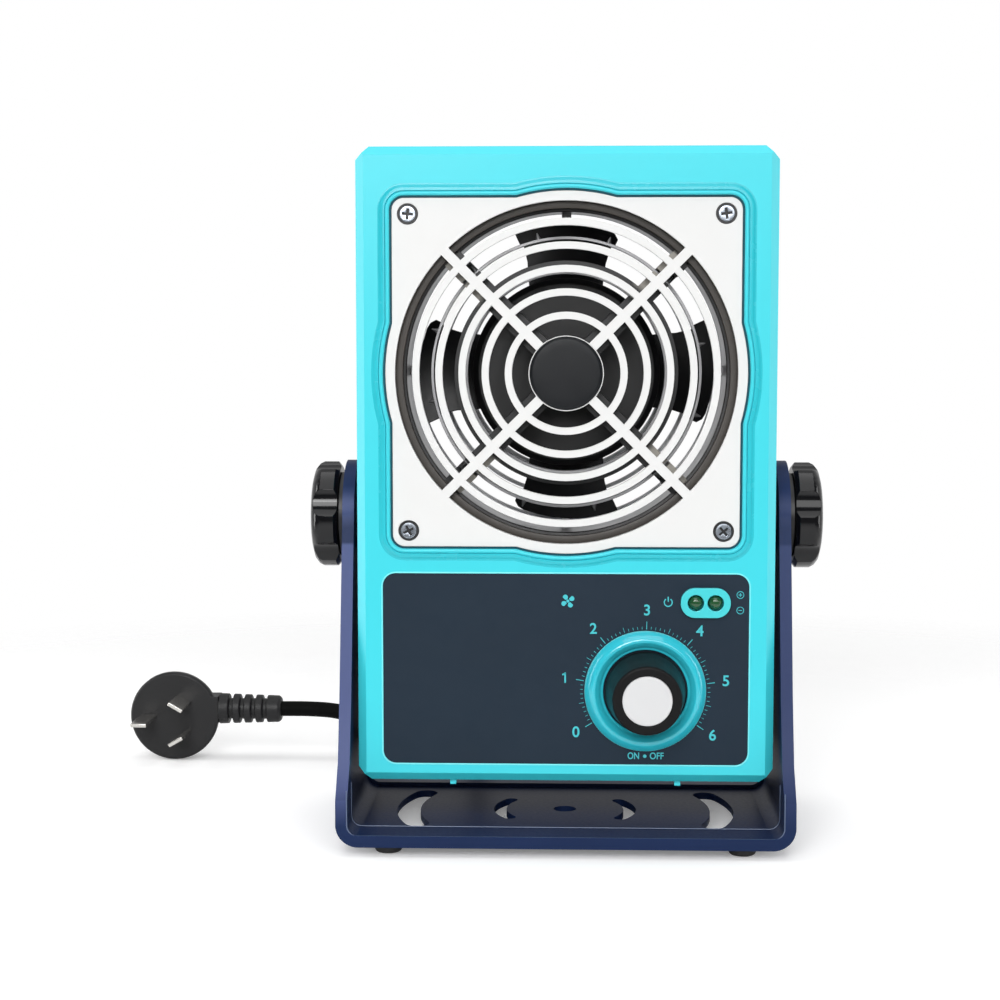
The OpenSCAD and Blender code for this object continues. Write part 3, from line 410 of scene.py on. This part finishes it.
def arc(cx, cy, r, start, end, steps=12):
    """Points along an arc, in degrees."""
    return [
        (cx + r * math.cos(math.radians(start + (end - start) * i / steps)),
         cy + r * math.sin(math.radians(start + (end - start) * i / steps)))
        for i in range(steps + 1)
    ]


def rounded_box_outline(w, h, r, steps=8):
    x, y = w / 2 - r, h / 2 - r
    return (arc(x, y, r, 0, 90, steps) + arc(-x, y, r, 90, 180, steps)
            + arc(-x, -y, r, 180, 270, steps) + arc(x, -y, r, 270, 360, steps))


def ring_outline(r, steps=128):
    return arc(0, 0, r, 0, 360 * (steps - 1) / steps, steps - 1)


def flat_shape(outlines, thick, edge=0.0, segments=2):
    """A mesh of a flat drawing, filled between its outlines, thick and with rounded edges."""
    curve = bpy.data.curves.new("drawing", "CURVE")
    curve.dimensions = "2D"
    curve.fill_mode = "BOTH"
    curve.extrude = max(thick / 2 - edge, 0)
    curve.bevel_depth = edge
    curve.bevel_resolution = segments
    curve.offset = -edge
    for outline in outlines:
        spline = curve.splines.new("POLY")
        spline.points.add(len(outline) - 1)
        for point, (x, y) in zip(spline.points, outline):
            point.co = (x, y, 0, 1)
        spline.use_cyclic_u = True
    return curve_mesh(curve)


def curve_mesh(curve):
    """The curve's or text's shape as a bmesh, the datablock removed."""
    obj = bpy.data.objects.new("drawing", curve)
    bpy.context.collection.objects.link(obj)
    depsgraph = bpy.context.evaluated_depsgraph_get()
    mesh = bpy.data.meshes.new_from_object(obj.evaluated_get(depsgraph))
    bm = bmesh.new()
    bm.from_mesh(mesh)
    bpy.data.objects.remove(obj)
    bpy.data.meshes.remove(mesh)
    return bm


def tube(path, radius, resolution):
    """A round tube with closed ends along a path."""
    curve = bpy.data.curves.new("route", "CURVE")
    curve.dimensions = "3D"
    curve.bevel_depth = radius
    curve.bevel_resolution = resolution
    curve.use_fill_caps = True
    spline = curve.splines.new("POLY")
    spline.points.add(len(path) - 1)
    for point, place in zip(spline.points, path):
        point.co = (*place, 1)
    return curve_mesh(curve)


def stood(bm, x=0.0, y=0.0, z=0.0, thick=0.0):
    """Stands a drawing up so that it faces the front, with its front at y."""
    upright = Matrix.Rotation(math.pi / 2, 4, "X")
    bmesh.ops.transform(bm, matrix=Matrix.Translation((x, y + thick / 2, z)) @ upright, verts=bm.verts)
    return bm


def moved(bm, x, z, turn=0.0):
    """Turns a flat drawing about its origin and moves it."""
    turned_first = Matrix.Translation((x, z, 0)) @ Matrix.Rotation(turn, 4, "Z")
    bmesh.ops.transform(bm, matrix=turned_first, verts=bm.verts)
    return bm


def joined(parts):
    whole = bmesh.new()
    for part in parts:
        mesh = bpy.data.meshes.new("part")
        part.to_mesh(mesh)
        whole.from_mesh(mesh)
        bpy.data.meshes.remove(mesh)
        part.free()
    return whole


# ---- Mains lead ----

LEAD_ROUTE = [
    (-35, 62, 46), (-35, 67, 46), (-35, 74, 45), (-35, 81, 42.2), (-35, 87, 37.7), (-35, 91.3, 32),
    (-35.1, 93.5, 27), (-35.3, 95.8, 22.5), (-35.6, 100.2, 17.2), (-35.9, 106, 13.1), (-36.2, 112.8, 10.3),
    (-36.4, 120, 9.3)
]
TAIL_ROUTE = [
    (5, 78.6, 3.1), (-6, 78.9, 3.1), (-17, 80.2, 3.1), (-28, 82.9, 3.1), (-39, 87, 3.2), (-49, 91.2, 4.5),
    (-59, 95.3, 7.2), (-68, 98.3, 10.8), (-77, 100.6, 14.8), (-86, 102.1, 18), (-95, 102.8, 19.8),
    (-105, 103, 20.4), (-115.6, 103, 20.4)
]
COIL_CENTRE = (5, 120)
COIL_TURNS = 5.75
COIL_TRACKS = (41.4, 35.2, 29.0)
COIL_LAYERS = (9.3, 3.1)


def eased(t, start, end):
    f = min(max((t - start) / (end - start), 0), 1)
    return f * f * (3 - 2 * f)


def coil_point(turn):
    """Inwards in the upper layer, then down and outwards in the lower one."""
    outer, mid, inner = COIL_TRACKS
    r = outer + (mid - outer) * eased(turn, 0.85, 1) + (inner - mid) * eased(turn, 1.85, 2)
    r += (mid - inner) * eased(turn, 3.75, 3.9) + (outer - mid) * eased(turn, 4.75, 4.9)
    z = COIL_LAYERS[0] + (COIL_LAYERS[1] - COIL_LAYERS[0]) * eased(turn, 2.74, 3)
    a = math.pi - math.tau * turn
    return (COIL_CENTRE[0] + r * math.cos(a), COIL_CENTRE[1] + r * math.sin(a), z)


def smooth_route(points, steps=6):
    """More points along a smooth curve through the given ones."""
    points = [Vector(p) for p in points]
    out = []
    for i in range(len(points) - 1):
        a, b, c, d = points[max(i - 1, 0)], points[i], points[i + 1], points[min(i + 2, len(points) - 1)]
        for k in range(steps):
            t = k / steps
            out.append(0.5 * ((2 * b) + (c - a) * t + (2 * a - 5 * b + 4 * c - d) * t * t
                              + (3 * b - a - 3 * c + d) * t ** 3))
    return out + [points[-1]]


def mains_lead():
    coil = [coil_point(i / 40) for i in range(1, int(COIL_TURNS * 40))]
    route = smooth_route(LEAD_ROUTE) + [Vector(p) for p in coil] + smooth_route(TAIL_ROUTE)
    path = [p * MM for p in route]
    lead = piece(tube(path, CORD_D / 2, 5), "mains_lead", SHEATH, None,
                 ["cord_lead", "cord_coil", "cord_tail"], smooth_angle=60)
    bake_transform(lead)
    plug_piece()
    relief_piece()
    pin_pieces()


def plug_piece():
    return softened("plug_body", "plug_disc", PLUG, "stand", 0.6 * MM, 3)


def relief_piece():
    return softened("plug_relief", "plug_strain_relief", PLUG, "stand", 0.4 * MM, 2)


def pin_pieces():
    return [softened("plug_pins", "plug_blades", PIN_METAL, "stand", 0.3 * MM, 2)]


mains_lead()

# ---- Stand ----

# Millimetres: half the depths of the tray and the stand, the base's top, the arms' inner faces and corners
TRAY_HALF_D = 32.0
STAND_HALF_D = 45.0
BASE_Z = 7
ARM_IN_X = 72
STAND_IN_R = 3.6
EDGE_LINE_TOP = 22


def stand_edges():
    """Painted highlights: the thin paler lines along the rim's two inner edges."""
    lines = []
    for y, sink in ((-TRAY_HALF_D, 0.0), (-STAND_HALF_D + 0.2, 0.15)):
        low, side, corner, top = BASE_Z - sink, ARM_IN_X + sink, STAND_IN_R, EDGE_LINE_TOP
        route = [(-side, top), *arc(corner - side, low + corner, corner, 180, 270, 10),
                 *arc(side - corner, low + corner, corner, 270, 360, 10), (side, top)]
        lines.append(tube([(x * MM, y * MM, z * MM) for x, z in route], 0.2 * MM, 2))
    piece(joined(lines), "stand_edge_highlight_lines", EDGE_HIGHLIGHT_NAVY, "stand")


def stand():
    softened("stand_bracket", "folded_stand", STAND, "stand", 0.5 * MM, 3)
    stand_edges()
    softened("stand_feet", "rubber_feet", RUBBER, "stand", 0.4 * MM, 2)


# ---- Head ----

FACE_Y = -29 * MM
# Sections of the mouldings, in millimetres: distance out from the guard's edge, and Y
BEAD_PROFILE = [
    (0.72, -27.2), (0.72, -29.3), (0.82, -29.75), (1.1, -30.05), (1.4, -30.15), (1.75, -30.05), (2.05, -29.7),
    (2.25, -29.2), (2.25, -28.6)
]
BAND_PROFILE = [
    (2.2, -28.6), (2.2, -29.5), (2.32, -29.76), (2.5, -29.78), (3.35, -29.62), (3.55, -29.55), (3.75, -29.38),
    (4.1, -29.1), (4.4, -29.02), (4.7, -29.0), (4.7, -28.6)
]
EDGE_STEPS = 720


def guard_edge(grow):
    """The guard's outline about its own centre, grown by a distance: a rounded square and a round bulge."""
    half, corner, bulge = PLATE_W / 2 + grow, PLATE_CORNER + grow, BULGE_R + grow
    points = []
    for i in range(EDGE_STEPS):
        a = math.tau * i / EDGE_STEPS
        c, n = abs(math.cos(a)), abs(math.sin(a))
        r = half / max(c, n)
        inset = half - corner
        if min(c, n) * r > inset:
            reach = inset * (c + n)
            r = reach + math.sqrt(reach * reach - 2 * inset * inset + corner * corner)
        points.append((max(r, bulge) * math.cos(a), max(r, bulge) * math.sin(a)))
    return points


def guard_moulding(profile, name, material):
    """A moulding of the given profile swept round the guard's outline."""
    bm = bmesh.new()
    rings = []
    for grow, y in profile:
        verts = [bm.verts.new((x, y * MM, FAN_Z + z)) for x, z in guard_edge(grow * MM)]
        rings.append([bm.edges.new((verts[i - 1], verts[i])) for i in range(len(verts))])
    for inner, outer in zip(rings, rings[1:] + rings[:1]):
        bmesh.ops.bridge_loops(bm, edges=inner + outer)
    piece(bm, name, material, "head", smooth_angle=50)


def guard_seal():
    """Painted shadow: a dark flat sheet that fills the gap between the guard and the bead."""
    depth = 1.4 * MM
    shadow_sheet = flat_shape([guard_edge(0.8 * MM), guard_edge(0.12 * MM)], depth)
    piece(stood(shadow_sheet, 0, FACE_Y + 0.15 * MM, FAN_Z, depth), "guard_seal", GAP_SHADOW_TEAL, "head")


def label_rim():
    """A painted highlight: the thin bright edge of the recess that the control label lies in."""
    w, h = LABEL_HIGH.x - LABEL_LOW.x, LABEL_HIGH.z - LABEL_LOW.z
    wide, thick, edge = 1.1 * MM, 0.4 * MM, 0.16 * MM
    outlines = [rounded_box_outline(w + wide, h + wide, 4.8 * MM), rounded_box_outline(w, h, 4.25 * MM)]
    middle = (LABEL_HIGH.z + LABEL_LOW.z) / 2
    rim = stood(flat_shape(outlines, thick, edge), 0, FACE_Y - 0.12 * MM, middle, thick)
    piece(rim, "label_rim", EDGE_HIGHLIGHT, "head")


def housing():
    softened("front_bezel", "bezel", BEZEL, "head", 0.35 * MM, 3, front=FACE_Y)
    guard_seal()
    guard_moulding(BEAD_PROFILE, "guard_bead", BEZEL)
    guard_moulding(BAND_PROFILE, "guard_band", SHADED_BAND)
    label_rim()
    softened("rear_housing", "rear_shell", HOUSING, "head", 0.5 * MM, 3)
    softened("control_label", "label", LABEL, "head", 0.1 * MM, 1)
    softened("cord_gland", "gland", RUBBER, "head", 0.3 * MM, 2)


def cross_outline(arm, width):
    """A plus of four arms."""
    w = width / 2
    quarter = [(arm, -w), (arm, w), (w, w)]
    return [
        (x * math.cos(k * math.pi / 2) - z * math.sin(k * math.pi / 2),
         x * math.sin(k * math.pi / 2) + z * math.cos(k * math.pi / 2))
        for k in range(4) for x, z in quarter
    ]


def profile_at(y, points):
    """A turned profile in millimetres, its lengths counted back from y."""
    return [(r * MM, y + along * MM) for r, along in points]


# Sections of the guard screws, in millimetres: radius, and distance back from the head's front
SCREW_HEAD_R = 2.62
SCREW_HEAD_T = 1.0
RECESS_FLOOR = [(0, 0.8), (2.3, 0.8), (2.3, 1.2), (1.7, 1.2), (1.7, 29.4), (0, 29.4)]
SCREW_COLLAR = [(2.5, 1.1), (2.5, 0.35), (3.3, 0.35), (3.45, 0.6), (3.45, 1.1)]


def guard_fixings():
    """Four cross-head screws: a head with a real recess, its floor and shank in black as painted shade, and a
    black collar.
    """
    front = node_box("guard_screws")[0].y
    heads, shanks = [], []
    for sx in (-1, 1):
        for sz in (-1, 1):
            x, z = sx * SCREW_PITCH / 2, FAN_Z + sz * SCREW_PITCH / 2
            turn = 0.3 + 0.9 * sx + 0.5 * sz
            outlines = [ring_outline(SCREW_HEAD_R * MM, 64), cross_outline(1.8 * MM, 0.8 * MM)]
            drawn = moved(flat_shape(outlines, SCREW_HEAD_T * MM, 0.14 * MM, 3), 0, 0, turn)
            heads.append(stood(drawn, x, front, z, SCREW_HEAD_T * MM))
            shank = bmesh.new()
            turned(shank, profile_at(front, RECESS_FLOOR), (x, 0, z), steps=32)
            turned(shank, profile_at(front, SCREW_COLLAR), (x, 0, z), steps=48)
            shanks.append(shank)
    piece(joined(heads), "guard_fixings", SCREW_STEEL, "head", ["guard_screws"])
    # Black recess floors stand as painted shade in the cross recesses; the collars round the heads are black
    # too.
    piece(joined(shanks), "guard_fixing_shade_and_collars", BLACK, "head", ["guard_screws"])


def guards():
    softened("front_guard", "finger_guard", GUARD, "head", 0.35 * MM, 3)
    softened("guard_cap", "hub_cap", HUB_BLACK, "head", 0.3 * MM, 2)
    softened("guard_washers", "screw_seats", BLACK, "head", 0.05 * MM, 1)
    guard_fixings()
    softened("rear_guard", "wire_guard", WIRE, "head", 0.1 * MM, 2)
    softened("rear_guard_screws", "wire_guard_fixings", STEEL, "head", 0.15 * MM, 2)


# Hoops at the mouth of the duct, in millimetres: name, finish, inner radius, front and back
DUCT_HOOPS = (
    ("duct_collar", DUCT_BROWN, 54.5, -25.4, -23.0),
    ("duct_shadow_line", BLACK, 53.6, -23.0, -20.0)
)
DUCT_R = 57.3


def ionizer():
    softened("emitter_carrier", "carrier", CARRIER, "head", 0.3 * MM, 2)
    for name, finish, inner, front, back in DUCT_HOOPS:
        hoop = bmesh.new()
        section = profile_at(0, [(inner, front), (DUCT_R, front), (DUCT_R, back), (inner, back)])
        turned(hoop, section, (0, 0, FAN_Z), steps=128, bevel=0.2 * MM, segments=2)
        piece(hoop, name, finish, "head")
    softened("emitter_ring", "emitter_band", ELECTRODE, "head", 0.1 * MM, 2)
    softened("emitter_needles", "emitter_points", ELECTRODE, "head", 0.03 * MM, 1)
    softened("counter_ring", "counter_band", ELECTRODE, "head", 0.1 * MM, 2)


def fan():
    softened("fan_frame", "cast_frame", CAST, "head", 0.4 * MM, 2)
    softened("impeller", "bladed_hub", BLADE, "fan_rotor", 0.3 * MM, 2)


# Section of the thin painted highlight ring round the dial's bowl, in millimetres: radius, and distance back
# from the label
DIAL_HIGHLIGHT_RING = [(19.95, -0.2), (19.9, -0.8), (20.1, -1.0), (20.32, -0.85), (20.38, -0.2)]


def controls():
    softened("dial_ring", "dial_bowl", BOWL, "head", 0.3 * MM, 3)
    rim = turned(bmesh.new(), profile_at(0, DIAL_HIGHLIGHT_RING), DIAL, steps=128)
    piece(rim, "dial_rim_highlight", EDGE_HIGHLIGHT, "head")
    softened("led_bezel", "lamp_surround", LAMP_FRAME, "head", 0.8 * MM, 4)
    softened("power_led", "power_lamp", LAMP, "head", 0.2 * MM, 2)
    softened("ion_led", "ion_lamp", LAMP, "head", 0.2 * MM, 2)
    softened("speed_knob", "dial_knob", KNOB_BLACK, "dial", 0.3 * MM, 3)
    softened("knob_cap", "dial_knob_cap", KNOB_WHITE, "dial", 0.3 * MM, 3)


def print_piece(parts, name):
    """Ink on the label, from drawings of X and Z."""
    piece(joined([stood(part, y=LABEL_Y - INK) for part in parts]), name, PRINT, "head")


def lettering(body, height, bold=0.0, narrow=1.0):
    """Text about the origin, its capitals of the given height and its width drawn in."""
    text = bpy.data.curves.new("lettering", "FONT")
    text.body = body
    text.size = height / 0.69
    text.align_x = "CENTER"
    text.align_y = "CENTER"
    text.extrude = INK / 2
    text.offset = bold
    letters = curve_mesh(text)
    bmesh.ops.scale(letters, vec=(narrow, 1, 1), verts=letters.verts)
    return letters


def bar(length, width, along=0.0, turn=0.0, x=0.0, z=0.0):
    """A straight stroke that starts at a distance along its own direction."""
    half = width / 2
    outline = [(along, -half), (along + length, -half), (along + length, half), (along, half)]
    return moved(flat_shape([outline], INK), x, z, turn)


# The dial's print, in millimetres and degrees
NUMERAL_R = 27.2
NUMERAL_H = 3.5
MARK_R = 20.9
FIRST_MARK = 211.6
NUMERAL_STEP = 40.87


def figure_one(x, z):
    """A one with a flag, which the plain typeface leaves off."""
    stem = bar(NUMERAL_H * MM, 0.55 * MM, -NUMERAL_H / 2 * MM, math.pi / 2, x, z)
    flag = bar(1.15 * MM, 0.5 * MM, 0, math.radians(205), x + 0.1 * MM, z + 1.45 * MM)
    return [stem, flag]


def dial_scale():
    """Numbers 0 to 6 with ten fine marks between each two."""
    parts = []
    first, step = math.radians(FIRST_MARK), math.radians(NUMERAL_STEP)
    for number in range(7):
        a = first - step * number
        x, z = DIAL.x + NUMERAL_R * MM * math.cos(a), DIAL.z + NUMERAL_R * MM * math.sin(a)
        if number == 1:
            parts += figure_one(x, z)
        else:
            parts.append(moved(lettering(str(number), NUMERAL_H * MM, 0.08 * MM), x, z))
    for mark in range(61):
        long = mark % 10 == 0
        length = 2.6 if long else 1.7 if mark % 5 == 0 else 0.9
        width = 0.22 if long else 0.13
        parts.append(bar(length * MM, width * MM, MARK_R * MM, first - step * mark / 10, DIAL.x, DIAL.z))
    print_piece(parts, "dial_scale_print")


def disc_print(r, steps=24):
    return flat_shape([ring_outline(r * MM, steps)], INK)


def switch_words():
    """ON and OFF with a dot between them, under the dial."""
    z = DIAL.z - 22.2 * MM
    return [
        moved(lettering("ON", 2.2 * MM, 0.04 * MM, 0.8), DIAL.x - 3.8 * MM, z),
        moved(lettering("OFF", 2.2 * MM, 0.04 * MM, 0.85), DIAL.x + 4.0 * MM, z),
        moved(disc_print(0.6), DIAL.x, z),
    ]


def fan_sign(x, z):
    """A hub with four blades that lean one way."""
    tip = arc(1.55 * MM, 0.1 * MM, 0.85 * MM, -110, 70, 10)
    blade = [(0.65 * MM, -0.2 * MM), *tip, (0.7 * MM, 0.5 * MM)]
    blades = [moved(flat_shape([blade], INK), x, z, math.pi / 2 * k + 0.5) for k in range(4)]
    return [moved(disc_print(0.5), x, z), *blades]


def power_sign(x, z):
    """An open ring with a stroke in its gap."""
    ring = arc(0, 0, 1.5 * MM, 125, 415, 28) + arc(0, 0, 1.15 * MM, 415, 125, 28)
    stroke = bar(1.7 * MM, 0.36 * MM, 0.2 * MM, math.pi / 2, x, z)
    return [moved(flat_shape([ring], INK), x, z), stroke]


def charge_sign(x, z, strokes):
    """A ringed plus of two strokes, or a ringed minus of one."""
    ring = flat_shape([ring_outline(1.25 * MM, 28), ring_outline(1.05 * MM, 28)], INK)
    bars = [bar(1.2 * MM, 0.24 * MM, -0.6 * MM, math.pi / 2 * k, x, z) for k in range(strokes)]
    return [moved(ring, x, z), *bars]


def panel_print():
    """ON and OFF under the dial, a fan sign over it, and signs beside the lamps."""
    lamp = node_centre("led_bezel")
    signs = switch_words() + fan_sign(DIAL.x - 26 * MM, lamp.z + 0.3 * MM)
    signs += power_sign(lamp.x - 12.4 * MM, lamp.z)
    for rise, strokes in ((2.6 * MM, 2), (-2.6 * MM, 1)):
        signs += charge_sign(lamp.x + 11.6 * MM, lamp.z + rise, strokes)
    print_piece(signs, "panel_sign_print")


def clamps():
    for side in ("left", "right"):
        body = f"{side}_clamp"
        softened(f"{body}_knob", f"{side}_star_knob", GLOSS_BLACK, body, 0.4 * MM, 3)
        softened(f"{body}_washer", f"{side}_spacer", BLACK, body, 0.3 * MM, 2)


stand()
housing()
guards()
ionizer()
fan()
controls()
dial_scale()
panel_print()
clamps()

# ---- Floor and light ----

AMBIENT_FRONT = 0.12
AMBIENT_BACK = 0.6
FLOOR_HALF = 1.2
FLOOR_GLOW = 0.2
FLOOR_FADE = (0.30, 0.55)


def floor():
    """White, and clear away from the object, so that it runs into the white background."""
    bm = bmesh.new()
    bmesh.ops.create_grid(bm, x_segments=1, y_segments=1, size=FLOOR_HALF)
    mesh = bpy.data.meshes.new("floor")
    bm.to_mesh(mesh)
    bm.free()
    obj = bpy.data.objects.new("floor", mesh)
    obj.location = (0, 0, -0.2 * MM)
    bpy.context.collection.objects.link(obj)
    s = Shader("white_floor")
    s.surface(Base_Color=(0.93, 0.93, 0.93, 1), Roughness=0.95, Emission_Color=(1, 1, 1, 1))
    s.put(s.bsdf, "Specular IOR Level", 0.0)
    glow = s.maths("MULTIPLY", s.add("ShaderNodeLightPath").outputs["Is Camera Ray"], FLOOR_GLOW)
    s.put(s.bsdf, "Emission Strength", glow)
    reach = s.add("ShaderNodeVectorMath", operation="LENGTH")
    s.put(reach, "Vector", s.place)
    clear = s.add("ShaderNodeBsdfTransparent").outputs[0]
    blend = s.add("ShaderNodeMixShader")
    s.put(blend, "Fac", s.spread(reach.outputs["Value"], *FLOOR_FADE))
    s.tree.links.new(s.bsdf.outputs[0], blend.inputs[1])
    s.tree.links.new(clear, blend.inputs[2])
    s.tree.links.new(blend.outputs[0], s.tree.nodes["Material Output"].inputs["Surface"])
    obj.data.materials.append(s.material)


def area_light(name, place, aim, size, power, size_y=None):
    """A soft light of the given power in watts that points from its place to its aim."""
    data = bpy.data.lights.new(name, "AREA")
    data.energy = power
    data.size = size
    if size_y:
        data.shape = "RECTANGLE"
        data.size_y = size_y
    obj = bpy.data.objects.new(name, data)
    obj.location = place
    obj.rotation_euler = (Vector(aim) - Vector(place)).to_track_quat("-Z", "Y").to_euler()
    bpy.context.collection.objects.link(obj)


def world():
    """Dim in front of the object and bright behind it; the camera sees plain white."""
    studio = bpy.data.worlds.new("studio")
    bpy.context.scene.world = studio
    studio.use_nodes = True
    tree = studio.node_tree
    lit = tree.nodes["Background"]
    direction = tree.nodes.new("ShaderNodeSeparateXYZ")
    tree.links.new(tree.nodes.new("ShaderNodeTexCoord").outputs["Generated"], direction.inputs[0])
    strength = tree.nodes.new("ShaderNodeMapRange")
    tree.links.new(direction.outputs["Y"], strength.inputs["Value"])
    for socket, value in (("From Min", -0.15), ("From Max", 0.35),
                          ("To Min", AMBIENT_FRONT), ("To Max", AMBIENT_BACK)):
        strength.inputs[socket].default_value = value
    tree.links.new(strength.outputs["Result"], lit.inputs["Strength"])
    seen = tree.nodes.new("ShaderNodeBackground")
    ray = tree.nodes.new("ShaderNodeLightPath")
    mix = tree.nodes.new("ShaderNodeMixShader")
    for background in (lit, seen):
        background.inputs["Color"].default_value = (1, 1, 1, 1)
    tree.links.new(ray.outputs["Is Camera Ray"], mix.inputs["Fac"])
    tree.links.new(lit.outputs[0], mix.inputs[1])
    tree.links.new(seen.outputs[0], mix.inputs[2])
    tree.links.new(mix.outputs[0], tree.nodes["World Output"].inputs["Surface"])


floor()
world()
area_light("key", (-0.25, -1.2, 0.75), (0, 0, 0.13), 0.6, 8)
area_light("front", (0.3, -1.25, 0.65), (0, 0, 0.12), 0.8, 7)
area_light("glow", (-0.21, -1.0, 0.36), (-0.04, 0, 0.2), 0.2, 1.2)
area_light("top", (0, -0.1, 0.95), (0, 0.02, 0), 0.8, 3)
area_light("left_strip", (-0.8, 0.05, 0.25), (0, 0, 0.12), 0.25, 2.5, size_y=0.7)
area_light("right_strip", (0.8, 0.05, 0.25), (0, 0, 0.12), 0.25, 1.5, size_y=0.7)

bpy.context.scene.view_settings.view_transform = "Standard"
